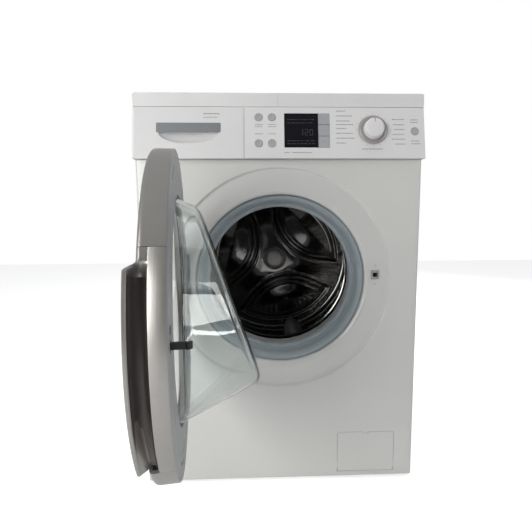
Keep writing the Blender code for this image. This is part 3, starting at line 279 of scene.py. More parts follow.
finish_look("cast_aluminium", (0.50, 0.50, 0.51), (0.60, 0.60, 0.61), 0.48, 0.14, 30.0, 700.0, 0.30,
            Metallic=1.0)
finish_look("zinc_plate", (0.46, 0.47, 0.49), (0.60, 0.61, 0.62), 0.34, 0.16, 60.0, 500.0, 0.06,
            dust=0.2, Metallic=1.0)
finish_look("tub_plastic", (0.50, 0.51, 0.50), (0.56, 0.565, 0.555), 0.50, 0.12, 18.0, 900.0, 0.20,
            dust=0.3)
finish_look("lifter_plastic", (0.42, 0.43, 0.44), (0.46, 0.47, 0.475), 0.35, 0.08, 16.0, 1400.0, 0.08)
finish_look("concrete", (0.30, 0.29, 0.275), (0.43, 0.42, 0.40), 0.85, 0.12, 60.0, 260.0, 0.9, dust=0.3)
finish_look("motor_paint", (0.045, 0.048, 0.052), (0.07, 0.072, 0.075), 0.42, 0.12, 30.0, 600.0, 0.25,
            dust=0.3)
finish_look("pump_plastic", (0.62, 0.60, 0.53), (0.66, 0.64, 0.58), 0.45, 0.08, 24.0, 1200.0, 0.12)
finish_look("foot_steel", (0.02, 0.02, 0.02), (0.035, 0.035, 0.035), 0.48, 0.12, 40.0, 800.0, 0.25)
finish_look("cap_satin", (0.56, 0.53, 0.51), (0.62, 0.59, 0.57), 0.38, 0.08, 20.0, turning=0.08,
            Metallic=0.6)
finish_look("bar_grey", (0.30, 0.315, 0.335), (0.34, 0.355, 0.375), 0.20, 0.05, 9.0, 1200.0, 0.03,
            Metallic=0.35, Coat_Weight=0.3)
# Grey of the knob's skirt: painted shade round the foot of the knob.
finish_look("knob_skirt_painted_shade", (0.36, 0.35, 0.35), (0.40, 0.39, 0.39), 0.30, 0.06, 20.0, turning=0.10,
            Metallic=0.4)
finish_look("printed_grey", (0.24, 0.245, 0.25), (0.29, 0.295, 0.30), 0.45, 0.05, 60.0, 900.0, 0.05)
finish_look("printed_rose", (0.46, 0.33, 0.33), (0.50, 0.37, 0.37), 0.45, 0.05, 40.0, 900.0, 0.05)
finish_look("segment_grey", (0.045, 0.045, 0.055), (0.06, 0.06, 0.07), 0.30, 0.05, 60.0, 900.0, 0.05)


def glass_look():
    """Clear pressed glass with a slow ripple."""
    look = bpy.data.materials.new("bowl_glass")
    look.use_nodes = True
    tree = look.node_tree
    shader = tree.nodes["Principled BSDF"]
    shader.inputs["Base Color"].default_value = (0.93, 0.965, 0.955, 1)
    shader.inputs["Roughness"].default_value = 0.012
    shader.inputs["IOR"].default_value = 1.5
    shader.inputs["Transmission Weight"].default_value = 1.0
    place = node(tree, "TexCoord").outputs["Object"]
    wave = use(tree, GRAIN, Vector=place, Scale=14.0, Height=0.35)
    tree.links.new(wave.outputs["Normal"], shader.inputs["Normal"])
    LOOKS["bowl_glass"] = look


glass_look()
for entry in frame["record"]["subparts"]:
    cad = frame["nodes"][entry["node"]]
    cad.data.materials.clear()
    cad.data.materials.append(LOOKS[entry["material_slot"]])


# ---- making pieces ---------------------------------------------------------------------
def added(name, data):
    """A new object in the scene."""
    made = bpy.data.objects.new(name, data)
    bpy.context.scene.collection.objects.link(made)
    return made


def piece(name, mesh, look, body, space=FLAT, stands_for=(), crease=32.0, soften=0.0, steps=2):
    """A piece of the machine that rides on a body; soften rounds its sharp edges."""
    made = added(name, mesh)
    made.matrix_world = space
    mesh.materials.clear()
    mesh.materials.append(LOOKS[look])
    mesh.shade_smooth()
    if soften:
        edge = made.modifiers.new("softened", "BEVEL")
        edge.width, edge.segments, edge.limit_method = soften, steps, "ANGLE"
        edge.angle_limit, edge.harden_normals = math.radians(crease), True
    else:
        mesh.set_sharp_from_angle(angle=math.radians(crease))
    if body:
        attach(made, body)
    if stands_for:
        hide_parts(*stands_for)
    return made


def mesh_of(cage):
    """Mesh from a bmesh, with its faces turned outward."""
    bmesh.ops.recalc_face_normals(cage, faces=cage.faces)
    mesh = bpy.data.meshes.new("piece")
    cage.to_mesh(mesh)
    cage.free()
    return mesh


def loft(rings, loop=False, ends=False, around=True):
    """Skin over rings of points. A ring of one point closes its end, loop joins last to first,
    ends puts a flat cap on each end, and around=False leaves each ring open."""
    cage = bmesh.new()
    rows = [[cage.verts.new(point) for point in ring] for ring in rings]
    for near, far in zip(rows, rows[1:] + rows[:1] if loop else rows[1:]):
        count = max(len(near), len(far))
        for i in range(count if around else count - 1):
            j = (i + 1) % count
            corners = [near[i % len(near)], near[j % len(near)], far[j % len(far)], far[i % len(far)]]
            cage.faces.new(list(dict.fromkeys(corners)))
    if ends:
        for row in (rows[0], rows[-1]):
            cage.faces.new(row)
    return mesh_of(cage)


def spun(radius, along, angle):
    """Point at an angle round local Y."""
    return (radius * math.cos(angle), along, radius * math.sin(angle))


def circle(radius, along, count=FINE):
    """Ring of points round local Y; on the axis it is one point."""
    if radius <= 0:
        return [(0, along, 0)]
    return [spun(radius, along, math.tau * i / count) for i in range(count)]


def lathe(profile, segments=FINE):
    """Turned solid from (radius, along) points; a point on the axis closes it."""
    return loft([circle(radius, along, segments) for radius, along in profile],
                loop=profile[0][0] > 0)


def box(low, high):
    """Block between two corners."""
    cage = bmesh.new()
    bmesh.ops.create_cube(cage, size=1.0)
    for corner in cage.verts:
        corner.co = Vector([high[k] if corner.co[k] > 0 else low[k] for k in range(3)])
    return mesh_of(cage)


def prism(outline, low, high, axis="y"):
    """Outline of (a, b) points pushed from low to high along y or z."""
    return loft([[(a, c, b) if axis == "y" else (a, b, c) for a, b in outline] for c in (low, high)],
                ends=True)


def rounded(low, high, radii, steps=6):
    """Rectangle outline with corner radii: low-left, low-right, high-right, high-left."""
    corners = [(low[0], low[1], 1, 1, 180), (high[0], low[1], -1, 1, 270),
               (high[0], high[1], -1, -1, 0), (low[0], high[1], 1, -1, 90)]
    points = []
    for (x, z, sx, sz, start), radius in zip(corners, radii):
        for i in range(steps + 1 if radius else 1):
            angle = math.radians(start + 90 * i / steps)
            points.append((x + sx * radius + radius * math.cos(angle),
                           z + sz * radius + radius * math.sin(angle)))
    return points


def baked(holder):
    """Mesh of an object with its modifiers applied; the object goes."""
    bpy.context.view_layer.update()
    graph = bpy.context.evaluated_depsgraph_get()
    made = bpy.data.meshes.new_from_object(holder.evaluated_get(graph))
    bpy.data.objects.remove(holder)
    return made


def carve(base, *tools, operation="DIFFERENCE"):
    """Boolean of meshes; each tool is a mesh or a (mesh, matrix) pair."""
    holder = added("carved", base)
    helpers = []
    for tool in tools:
        mesh, place = tool if isinstance(tool, tuple) else (tool, FLAT)
        helper = added("tool", mesh)
        helper.matrix_world = place
        step = holder.modifiers.new("carve", "BOOLEAN")
        step.operation, step.solver, step.object = operation, "EXACT", helper
        helpers.append(helper)
    made = baked(holder)
    for helper in helpers:
        bpy.data.objects.remove(helper)
    return made


def joined(meshes):
    """One mesh from several; each entry is a mesh or a (mesh, matrix) pair."""
    cage = bmesh.new()
    for entry in meshes:
        mesh, place = entry if isinstance(entry, tuple) else (entry, FLAT)
        copy = mesh.copy()
        copy.transform(place)
        cage.from_mesh(copy)
    mesh = bpy.data.meshes.new("joined")
    cage.to_mesh(mesh)
    cage.free()
    return mesh


def set_at(mesh, spots, turn=FLAT):
    """The same mesh at several places, as (mesh, matrix) pairs."""
    return [(mesh, Matrix.Translation(spot) @ turn) for spot in spots]


def smoothstep(low, high, value):
    """0 below low, 1 above high and a smooth rise between."""
    share = min(1.0, max(0.0, (value - low) / (high - low)))
    return share * share * (3 - 2 * share)


def lerp(a, b, share):
    return a + (b - a) * share


# ---- cabinet ---------------------------------------------------------------------------
RECESS = [(0.2402, 0.0), (0.2388, 0.0004), (0.2376, 0.0012), (0.2368, 0.0024), (0.2362, 0.0036),
          (0.2352, 0.0050), (0.2336, 0.0058), (0.2310, 0.0060), (0.1935, 0.0060), (0.1895, 0.0067),
          (0.1862, 0.0084), (0.1838, 0.0110), (0.1822, 0.0142), (0.1815, 0.0172), (0.1812, 0.0200)]
FLAP_LOW, FLAP_HIGH = (0.1275, 0.0180), (0.2555, 0.1115)


def bent_front(inset, back):
    """Plan outline of the front panel: flat front, round corners, straight folds."""
    radius, half = 0.008 - inset, HALF - inset
    left = [(-half + radius - radius * math.cos(a), FRONT + inset + radius - radius * math.sin(a))
            for a in (math.radians(15 * i) for i in range(7))]
    return [(-half, back)] + left + [(-x, y) for x, y in reversed(left)] + [(half, back)]


def front_panel():
    """Folded sheet with the pressed recess, the porthole's throat, and the flap's and lock's holes."""
    pan = prism(bent_front(0.0, FRONT + FOLD), PANEL_LOW.z, PANEL_HIGH.z, "z")
    hollow = prism(bent_front(SHEET, FRONT + FOLD + 0.02), PANEL_LOW.z + SHEET, PANEL_HIGH.z - SHEET, "z")
    mouth, throat = RECESS[0][0], RECESS[-1][0]
    before, behind = -0.02, 0.06                 # where the cutters end, clear of the sheet
    dish = lathe([(0, before), (mouth, before)] + RECESS + [(throat, behind), (0, behind)])
    shell = [(r + SHEET * 0.75, d + SHEET * 0.9) for r, d in RECESS[1:-1]]
    backing = lathe([(0, before), (mouth + 0.001, before), (mouth + 0.001, SHEET)] + shell
                    + [(throat + SHEET, behind), (0, behind)])
    hollow = carve(hollow, (backing, DRUM_SPACE))
    gap, half_lock = 0.0006, 0.0078
    flap_hole = prism(rounded([v - gap for v in FLAP_LOW], [v + gap for v in FLAP_HIGH],
                              (0.0016, 0.0016, 0.0066, 0.0066)), FRONT - 0.01, FRONT + 0.02)
    lock_hole = prism(rounded((LOCK.x - half_lock, LOCK.z - half_lock),
                              (LOCK.x + half_lock, LOCK.z + half_lock), (0.001,) * 4, 3),
                      FRONT - 0.01, FRONT + 0.03)
    mesh = carve(pan, (dish, DRUM_SPACE), hollow, flap_hole, lock_hole)
    piece("front_panel_pressed", mesh, "white_enamel", "cabinet", stands_for=["front_panel"], soften=0.0004)


def service_flap():
    """Flap with round corners, a softened face and the finger notch in its top edge."""
    face = prism(rounded(FLAP_LOW, FLAP_HIGH, (0.0034, 0.0034, 0.006, 0.006)), FRONT, FRONT + 0.0022)
    notch = prism(rounded((0.1845, 0.1060), (0.1975, 0.1200), (0.0025, 0.0025, 0, 0), 4),
                  FRONT - 0.01, FRONT + 0.0016)
    piece("service_flap_face", carve(face, notch), "white_enamel", "service_flap",
          stands_for=["service_flap"], soften=0.0005, steps=3)


def side_panels():
    """Side sheets with a shallow pressed field, folded front and rear, and the spring's shelf."""
    margin_y, margin_z, corner, depth = 0.070, 0.085, 0.035, 0.0022
    fold_front, fold_back = 0.2895, 0.2725       # how far in the folds reach
    for side, name in ((-1, "left"), (1, "right")):
        low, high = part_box("side_panel_" + name)
        front, back = low.y + SHEET / 2, high.y - SHEET / 2
        middle_y, middle_z = (front + back) / 2, (low.z + high.z) / 2 + 0.01

        def pressed(y, z):
            across = abs(y - middle_y) - ((back - front) / 2 - margin_y)
            upward = abs(z - middle_z) - ((high.z - low.z) / 2 - margin_z)
            edge = math.hypot(max(across + corner, 0), max(upward + corner, 0)) - corner
            return depth * (1 - smoothstep(-0.010, 0.004, max(edge, min(across, upward))))

        span = [front + (back - front) * i / 64 for i in range(65)]
        path = [(fold_front, front)] + [(HALF - SHEET / 2, y) for y in span] + [(fold_back, back)]
        rings = []
        for k in range(97):
            z = lerp(low.z, high.z, k / 96)
            rings.append([(side * (x - (pressed(y, z) if x > fold_front + SHEET else 0)), y, z)
                          for x, y in path])
        holder = added("sheet", loft(rings, around=False))
        thick = holder.modifiers.new("sheet", "SOLIDIFY")
        thick.thickness, thick.offset, thick.use_even_offset = SHEET * 0.98, 0.0, True
        inner, outer = sorted((side * 0.178, side * (HALF - 0.0030)))
        shelf = box((inner, FRONT + 0.364, 0.7900), (outer, FRONT + 0.396, 0.7925))
        piece(f"side_panel_{name}_pressed", joined([baked(holder), shelf]), "white_enamel", "cabinet",
              stands_for=["side_panel_" + name])


def worktop():
    """Slab with round upper corners, softened edges and the joint line across its front trim."""
    low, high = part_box("worktop")
    slab = prism(rounded((low.x, low.z), (high.x, high.z), (0.0006, 0.0006, 0.0045, 0.0045)),
                 low.y, high.y)
    joint = box((-0.0048, low.y - 0.01, low.z - 0.01), (-0.0042, low.y + 0.0008, high.z + 0.01))
    piece("worktop_slab", carve(slab, joint), "worktop_laminate", "cabinet", stands_for=["worktop"],
          soften=0.0012, steps=3)


def screw_mesh(radius=0.0042, height=0.0022):
    """Pan-head screw, head along -Y, with a cross slot."""
    head = lathe([(0, -height), (radius * 0.45, -height * 0.95), (radius * 0.8, -height * 0.7),
                  (radius, -height * 0.25), (radius, 0.0), (0, 0.0)], 24)
    wide, thin = radius * 0.62, radius * 0.12
    return carve(head, *(box((-x, -height * 1.4, -z), (x, -height * 0.45, z))
                         for x, z in ((wide, thin), (thin, wide))))


def screws():
    """Screws of the rear cover, the rear panel and the door lock, and the transport bolt caps."""
    cover_back, panel_back, worktop_back, dish = (FRONT + d for d in (0.5514, 0.5501, 0.5531, 0.0060))
    screw = screw_mesh()
    cover = [(x, cover_back, z) for x in (-0.184, 0.184) for z in (0.252, 0.460, 0.668)]
    cover += [(0, cover_back, 0.2465), (0, cover_back, 0.6735)]
    panel = [(x, panel_back, z) for x in (-0.283, 0.283) for z in (0.045, 0.420, 0.800)]
    piece("rear_screws", joined(set_at(screw, cover + panel, TURNED)), "bright_steel", "cabinet")
    cap = lathe([(0, -0.0040), (0.0150, -0.0036), (0.0172, -0.0020), (0.0175, 0.0), (0, 0.0)], 40)
    bolts = [(x, panel_back, z) for z in (0.640, 0.180) for x in (-0.235, 0.235)]
    piece("transport_bolt_caps", joined(set_at(cap, bolts, TURNED)), "grey_plastic", "cabinet")
    in_lock = [(LOCK.x, dish, z) for z in (0.4495, 0.4900)]
    piece("lock_screws", joined(set_at(screw_mesh(0.0026, 0.0008), in_lock)), "bright_steel", "cabinet")
    in_worktop = [(x, worktop_back, 0.834) for x in (-0.25, 0.25)]
    piece("worktop_screws", joined(set_at(screw, in_worktop, TURNED)), "bright_steel", "cabinet")


# ---- controls --------------------------------------------------------------------------
def controls():
    """Dished buttons, bevelled keys and the lens with dim segments, then the knob and the marks."""
    r = 0.0080
    dished = [(0, -0.0006), (r * 0.45, -0.0007), (r * 0.78, -0.0011), (r * 0.90, -0.0012),
              (r * 0.97, -0.0009), (r, -0.0004), (r, 0.0080), (0, 0.0080)]
    buttons = {"option_button_" + name: spot for name, spot in BUTTONS.items()} | {"start_button": START}
    for name, (x, up) in buttons.items():
        piece(name + "_cap", lathe(dished, 48), "key_grey", name,
              FASCIA_SPACE @ Matrix.Translation((x, 0, up)), [name])
    for index, name in enumerate(KEYS):
        low = LENS_LOW[1] + index * KEY_STEP
        outline = rounded((0.0779, low), (0.1010, low + KEY_STEP - KEY_GAP),
                          (0, 0.0018 if index == 0 else 0, 0.0018 if index == 2 else 0, 0))
        piece(f"display_key_{name}_cap", prism(outline, -0.0008, 0.0060), "key_grey",
              "display_key_" + name, FASCIA_SPACE, ["display_key_" + name], soften=0.0004, steps=3)
    lens = prism(rounded(LENS_LOW, LENS_HIGH, (0.0018, 0, 0, 0.0018)), -0.0003, 0.0022)
    piece("display_lens_face", lens, "display_black", "cabinet", FASCIA_SPACE, ["display_lens"],
          soften=0.0003)
    display_segments()
    knob()
    printed_marks()


def digit_bars(value, x, up, width, height, bar):
    """Bars of a seven-segment digit as (x0, up0, x1, up1)."""
    lit = {0: "abcdef", 1: "bc", 2: "abged"}[value]
    half = height / 2
    spots = {"a": (x, up + height - bar, x + width, up + height), "d": (x, up, x + width, up + bar),
             "g": (x, up + half - bar / 2, x + width, up + half + bar / 2),
             "f": (x, up + half, x + bar, up + height), "e": (x, up, x + bar, up + half),
             "b": (x + width - bar, up + half, x + width, up + height),
             "c": (x + width - bar, up, x + width, up + half)}
    return [spots[key] for key in lit]


def display_segments():
    """A three-figure reading with its colon, between rows of plain strokes."""
    bars = []
    for place, value in ((0.0395, 1), (0.0500, 2), (0.0600, 0)):
        bars += digit_bars(value, place, 0.0480, 0.0070, 0.0130, 0.0012)
    bars += [(0.0478, 0.0515, 0.0488, 0.0525), (0.0478, 0.0565, 0.0488, 0.0575)]
    dice = random.Random(7)
    for up in (0.0805, 0.0735, 0.0300, 0.0360):
        x = 0.0140
        while x < 0.0680:
            width = dice.uniform(0.0025, 0.0085)
            bars.append((x, up, min(x + width, 0.0715), up + 0.0016))
            x += width + dice.uniform(0.0012, 0.0035)
    blocks = [box((x0, -0.00036, z0), (x1, -0.0002, z1)) for x0, z0, x1, z1 in bars]
    piece("display_segments", joined(blocks), "segment_grey", "cabinet", FASCIA_SPACE)


def knob():
    """White cap with a fluted side and a pointer groove, over a skirt whose grey paints the shade round the knob's
    foot.
    """
    flutes, flute_depth, count = 36, 0.00035, 180

    def fluted(radius, along):
        depth = flute_depth if radius > 0.0190 and along < -0.0045 else 0.0
        return [spun(radius - depth * max(0, math.cos(flutes * a)) ** 2, along, a)
                for a in (math.tau * i / count for i in range(count))]

    profile = [(0.0110, -0.0175), (0.0160, -0.0172), (0.0182, -0.0165), (0.0195, -0.0150),
               (0.0200, -0.0125), (0.0208, -0.0070), (0.0210, -0.0048), (0.0210, -0.0040)]
    rings = [[(0, -0.0175, 0)]] + [fluted(r, d) for r, d in profile] + [[(0, -0.0040, 0)]]
    space = FASCIA_SPACE @ Matrix.Translation((KNOB[0], 0, KNOB[1]))
    groove = prism(rounded((-0.0008, 0.0100), (0.0008, 0.0190), (0.0007,) * 4, 3), -0.03, -0.0166)
    piece("program_knob_cap", carve(loft(rings), groove), "fascia_plastic", "program_knob", space,
          ["program_knob"], crease=40)
    # The skirt's grey is painted shade under the cap.
    skirt = lathe([(0.0056, -0.0040), (0.0238, -0.0040), (0.0262, -0.0036), (0.0284, -0.0026),
                   (0.0290, -0.0014), (0.0290, -0.0006), (0.0056, -0.0006)], 96)
    piece("program_knob_skirt", skirt, "knob_skirt_painted_shade", "program_knob", space)
    stem = lathe([(0, -0.0050), (0.0055, -0.0050), (0.0055, 0.0120), (0, 0.0120)], 32)
    piece("program_knob_stem", stem, "black_plastic", "program_knob", space)
    pointer = box((-0.0006, -0.0172, 0.0106), (0.0006, -0.0165, 0.0184))
    piece("program_knob_pointer", pointer, "printed_grey", "program_knob", space)
    halo = lathe([(0.0294, -0.00008), (0.0308, -0.00008), (0.0308, 0.0002), (0.0294, 0.0002)], 96)
    piece("program_ring_print", halo, "printed_rose", "cabinet", space)


def printed_marks():
    """Plain strokes for a control panel's legends; those on a key or the drawer ride on it."""
    dice = random.Random(11)

    def row(x0, x1, up, height=0.0018):
        strokes, x = [], x0
        while x < x1 - 0.0012:
            width = min(dice.uniform(0.0016, 0.0050), x1 - x)
            strokes.append((x, up, x + width, up + height))
            x += width + dice.uniform(0.0006, 0.0012)
        return strokes

    def printed(name, strokes, proud, body, extra=()):
        blocks = [box((x0, -proud, z0), (x1, 0.0003 - proud, z1)) for x0, z0, x1, z1 in strokes]
        piece(name, joined(blocks + list(extra)), "printed_grey", body, FASCIA_SPACE)

    legends = []
    for up, length in ((0.0987, 0.019), (0.0884, 0.033), (0.0777, 0.029), (0.0702, 0.035),
                       (0.0620, 0.021), (0.0519, 0.034), (0.0416, 0.038), (0.0315, 0.019)):
        legends += row(0.1150, 0.1150 + length, up)
    for up, length in ((0.0813, 0.026), (0.0702, 0.024), (0.0599, 0.022), (0.0498, 0.025),
                       (0.0397, 0.027), (0.0294, 0.020)):
        legends += row(0.2570 - length, 0.2570, up)
    for up, x0, x1 in ((0.0805, 0.2690, 0.2860), (0.0750, 0.2690, 0.2840), (0.0360, 0.2700, 0.2870),
                       (0.0300, 0.2700, 0.2890), (0.0190, 0.1670, 0.2100), (0.0115, 0.0085, 0.0190),
                       (0.0115, 0.0240, 0.0640)):
        legends += row(x0, x1, up)
    for up in (0.0700, 0.0655, 0.0505):
        for x in (-0.0441, -0.0170):
            legends += row(x - 0.0075, x + 0.0085, up, 0.0015)
    on_drawer = row(-0.1560, -0.1230, 0.0920, 0.0022) + row(-0.1560, -0.1270, 0.0850, 0.0014)
    on_keys = [row(0.0865, 0.0925, 0.0345 + KEY_STEP * key, 0.0012) for key in range(len(KEYS))]
    tick = box((-0.0004, -0.00007, 0.0330), (0.0004, 0.0002, 0.0352))
    around_knob = Matrix.Translation((KNOB[0], 0, KNOB[1]))
    ticks = [(tick, around_knob @ Matrix.Rotation(math.tau * step / 16, 4, "Y")) for step in range(16)]
    printed("fascia_legends", legends, 0.00007, "cabinet", ticks)
    printed("drawer_legends", on_drawer, 0.00007, "drawer")
    for name, strokes in zip(KEYS, on_keys):
        printed(f"display_key_{name}_mark", strokes, 0.00087, "display_key_" + name)


# ---- drawer ----------------------------------------------------------------------------
def drawer():
    """Drawer front with the scooped finger recess under a glossy bar."""
    x0, x1 = -HALF, -0.0737
    top = (FASCIA_HIGH - FASCIA_LOW) / math.cos(SLANT)
    bar_up = 0.0548
    grip_left, grip_right = -0.2512, -0.1214
    middle, reach, drop, scoop_depth = (grip_left + grip_right) / 2, 0.0600, 0.0232, 0.0135
    rim_x, rim_up, rim_depth = 0.0022, 0.0016, 0.0009

    def depth(x, up):
        """Of the front's skin, in the scoop or round the rim."""
        spread = ((x - middle) / reach) ** 2 + ((bar_up - up) / drop) ** 2
        scoop = scoop_depth * max(0.0, 1 - spread) ** 0.45 if up <= bar_up else 0.0
        near_up = max(0.0, rim_up - up, up - (top - rim_up)) / rim_up
        near_x = max(0.0, (x0 + rim_x - x), (x - x1 + rim_x)) / rim_x
        rim = min(1.0, math.hypot(near_up, near_x))
        return max(scoop, rim_depth * (1 - math.sqrt(max(0.0, 1 - rim * rim))))

    xs = [lerp(x0, x1, i / 112) for i in range(113)]
    ups = [0.0003] + [lerp(rim_up, bar_up - 0.0004, i / 44) for i in range(45)]
    ups += [bar_up, bar_up + 0.0002]
    ups += [lerp(bar_up + 0.006, top - rim_up, i / 8) for i in range(9)] + [top]
    cage = bmesh.new()
    grid = [[cage.verts.new((x, depth(x, up), up)) for x in xs] for up in ups]
    for low, high in zip(grid, grid[1:]):
        for i in range(len(xs) - 1):
            cage.faces.new((low[i], low[i + 1], high[i + 1], high[i]))
    skirt = bmesh.ops.extrude_edge_only(cage, edges=[e for e in cage.edges if e.is_boundary])["geom"]
    to_fascia = FASCIA_SPACE.inverted()
    for item in skirt:
        if isinstance(item, bmesh.types.BMVert):
            world = FASCIA_SPACE @ item.co
            world.y = FRONT + 0.0122
            item.co = to_fascia @ world
    bmesh.ops.holes_fill(cage, edges=[e for e in cage.edges if e.is_boundary], sides=0)
    piece("drawer_front_scooped", mesh_of(cage), "fascia_plastic", "drawer", FASCIA_SPACE,
          ["drawer_front"], crease=28)
    bar = prism(rounded((grip_left, bar_up - 0.0009), (grip_right, 0.0739),
                        (0.0012, 0.0030, 0.0010, 0.0010)), -0.0012, 0.0024)
    piece("drawer_grip_bar", bar, "bar_grey", "drawer", FASCIA_SPACE, soften=0.0006,
          steps=3)


# ---- porthole door ---------------------------------------------------------------------
RING_WALL = 0.0038                               # thickness of the band behind its round edge


def swept(profile_at, start, end, step=1.0):
    """Loft of cross-sections round local Y from start to end degrees, closed at both ends;
    profile_at(degrees) gives (radius, along) points."""
    count = max(2, round((end - start) / step))
    turns = [lerp(start, end, i / count) for i in range(count + 1)]
    return loft([[spun(r, d, math.radians(turn)) for r, d in profile_at(turn)] for turn in turns],
                ends=True)


def door_ring():
    """Broad painted band of the door, open where the handle sits and notched for the hinge."""
    rim, inside, out = RING_RADIUS, RING_INSIDE, RING_OUTSIDE
    wall = rim - RING_WALL
    profile = [(0.1500, -0.0010), (0.1506, -0.0024), (0.1560, -0.0058), (0.1585, out),
               (rim - 0.0052, out), (rim - 0.0030, -0.0057), (rim - 0.0012, -0.0044),
               (rim - 0.0002, -0.0024), (rim, 0.0), (rim, inside - 0.0010),
               (rim - 0.0010, inside), (wall + 0.0006, inside), (wall, inside - 0.0006),
               (wall, -0.0021), (0.1712, -0.0021), (0.1712, 0.0127), (0.1672, 0.0127), (0.1672, -0.0010)]
    gap = 0.12                                   # degrees between the band and the handle
    ring = swept(lambda degrees: profile, HANDLE_TOP + gap, 360 + HANDLE_BOTTOM - gap)
    x = -DOOR_CENTRE
    notches = [box((x - 0.03, -0.0045, -0.062), (x + 0.012, 0.04, 0.062))]
    for low, high in ((-0.058, -0.046), (0.046, 0.058)):
        notches.append(box((x - 0.03, -0.02, low), (x + 0.0055, 0.03, high)))
    piece("door_ring_band", carve(ring, *notches), "silver_paint", "door", DOOR_SPACE, ["door_ring"])


def door_handle():
    """Moulding that carries the ring on, rises to a lip and is hollowed behind it for fingers; a dark sheet laid
    over the hollow paints the shade in it.
    """
    rim, inside, out = RING_RADIUS, RING_INSIDE, RING_OUTSIDE
    wall = rim - RING_WALL
    filled = 0.2333                              # radius of the skin where there is no hollow

    def deepening(degrees):
        return lerp(0.45, 1.0, smoothstep(-36.0, -12.0, degrees))

    def section(degrees):
        lip = 1 - smoothstep(22.2, 24.8, degrees)
        hollow = (1 - smoothstep(21.5, 24.8, degrees)) * deepening(degrees)
        front = [(0.2050, -0.0021), (0.2050, out)]
        front += [(r, lerp(out, d, lip)) for r, d in
                  ((0.2080, -0.0105), (0.2115, -0.0152), (0.2150, -0.0172), (0.2185, -0.0178))]
        crest = [(lerp(r0, r1, lip), lerp(d0, d1, lip)) for r0, d0, r1, d1 in
                 ((0.2283, out, 0.2335, -0.0178), (0.2305, -0.0057, 0.2345, -0.0168),
                  (0.2323, -0.0044, 0.2345, -0.0145), (0.2331, -0.0030, 0.2335, -0.0134))]
        scoop = [(lerp(filled, r, hollow), lerp(d0, d1, hollow)) for r, d0, d1 in
                 ((0.2240, -0.0022, -0.0124), (0.2185, -0.0014, -0.0105), (0.2158, -0.0008, -0.0070),
                  (0.2150, 0.0, -0.0030), (0.2162, 0.0012, 0.0008), (0.2200, 0.0024, 0.0032),
                  (0.2270, 0.0040, 0.0044))]
        back = [(rim - 0.0006, 0.0051), (rim, 0.0060), (rim, inside - 0.0010), (rim - 0.0010, inside),
                (wall + 0.0006, inside), (wall, inside - 0.0006), (wall, 0.0085), (0.2120, 0.0050),
                (0.2100, -0.0021)]
        return front + crest + scoop + back

    piece("door_handle_moulding", swept(section, HANDLE_BOTTOM, HANDLE_TOP, 0.5), "silver_paint", "door",
          DOOR_SPACE, ["door_handle"], crease=40)

    # Thin dark sheet over the hollow's skin: painted shade of the finger scoop.
    def painted_shade_sheet(degrees):
        skin = [(lerp(filled, r, deepening(degrees)), d) for r, d in
                ((0.2325, -0.0128), (0.2240, -0.0121), (0.2187, -0.0102), (0.2162, -0.0069),
                 (0.2154, -0.0030), (0.2166, 0.0006), (0.2204, 0.0029), (0.2272, 0.0040),
                 (0.2325, 0.0046))]
        return skin + [(r + 0.0003, d) for r, d in reversed(skin)]

    piece("door_handle_scoop_painted_shade", swept(painted_shade_sheet, HANDLE_BOTTOM + 1.5, 21.4, 0.5), "scoop_painted_shade", "door",
          DOOR_SPACE, crease=50)


def door_inner_frame():
    """Grey ring round the glass with a shallow groove, slots, the hook's opening and ten screws."""
    wall, inside = RING_RADIUS - RING_WALL - 0.0003, RING_INSIDE
    mesh = lathe([(0.1690, 0.0168), (0.1690, inside - 0.0008), (0.1698, inside), (0.1985, inside),
                  (0.1992, inside - 0.0007), (0.2006, inside - 0.0007), (0.2013, inside),
                  (wall - 0.0008, inside), (wall, inside - 0.0008), (wall, inside - 0.0030),
                  (0.1800, inside - 0.0030), (0.1800, 0.0168)])
    x = -DOOR_CENTRE
    tools = [box((x - 0.03, -0.01, -0.068), (x + 0.032, 0.05, 0.068)),
             box((LOCK.x - 0.0085, 0.0, LOCK_RISE - 0.0062), (LOCK.x + 0.0085, 0.05, LOCK_RISE + 0.0062))]
    for degrees in (62, 69, -58, -65):
        slot = prism(rounded((-0.0022, -0.0090), (0.0022, 0.0090), (0.0021,) * 4, 5), 0.0, 0.06)
        tools.append((slot, Matrix.Rotation(-math.radians(degrees), 4, "Y")
                      @ Matrix.Translation((0.2130, 0, 0)) @ Matrix.Rotation(math.radians(12), 4, "Y")))
    piece("door_inner_frame_plate", carve(mesh, *tools), "grey_plastic", "door", DOOR_SPACE,
          ["door_inner_frame"])
    guard = prism(rounded((LOCK.x - 0.0046, 0.0215), (LOCK.x + 0.0046, 0.0300), (0.0012,) * 4, 3),
                  inside - 0.0010, inside + 0.0005)
    piece("hook_guard", guard, "black_plastic", "door", DOOR_SPACE, soften=0.0004)
    spots = [spun(0.1905, inside, math.radians(degrees))
             for degrees in (28, 52, 82, 118, 146, -28, -48, -80, -118, -146)]
    piece("inner_frame_screws", joined(set_at(screw_mesh(0.0030, 0.0009), spots, TURNED)), "bright_steel",
          "door", DOOR_SPACE)


BOWL_RIM, BOWL_START, BOWL_TAPER = 0.1675, 0.0147, 0.410
BOWL_DEPTH, BOWL_SLOPE, BOWL_WALL = 0.105, 0.336, 0.0045


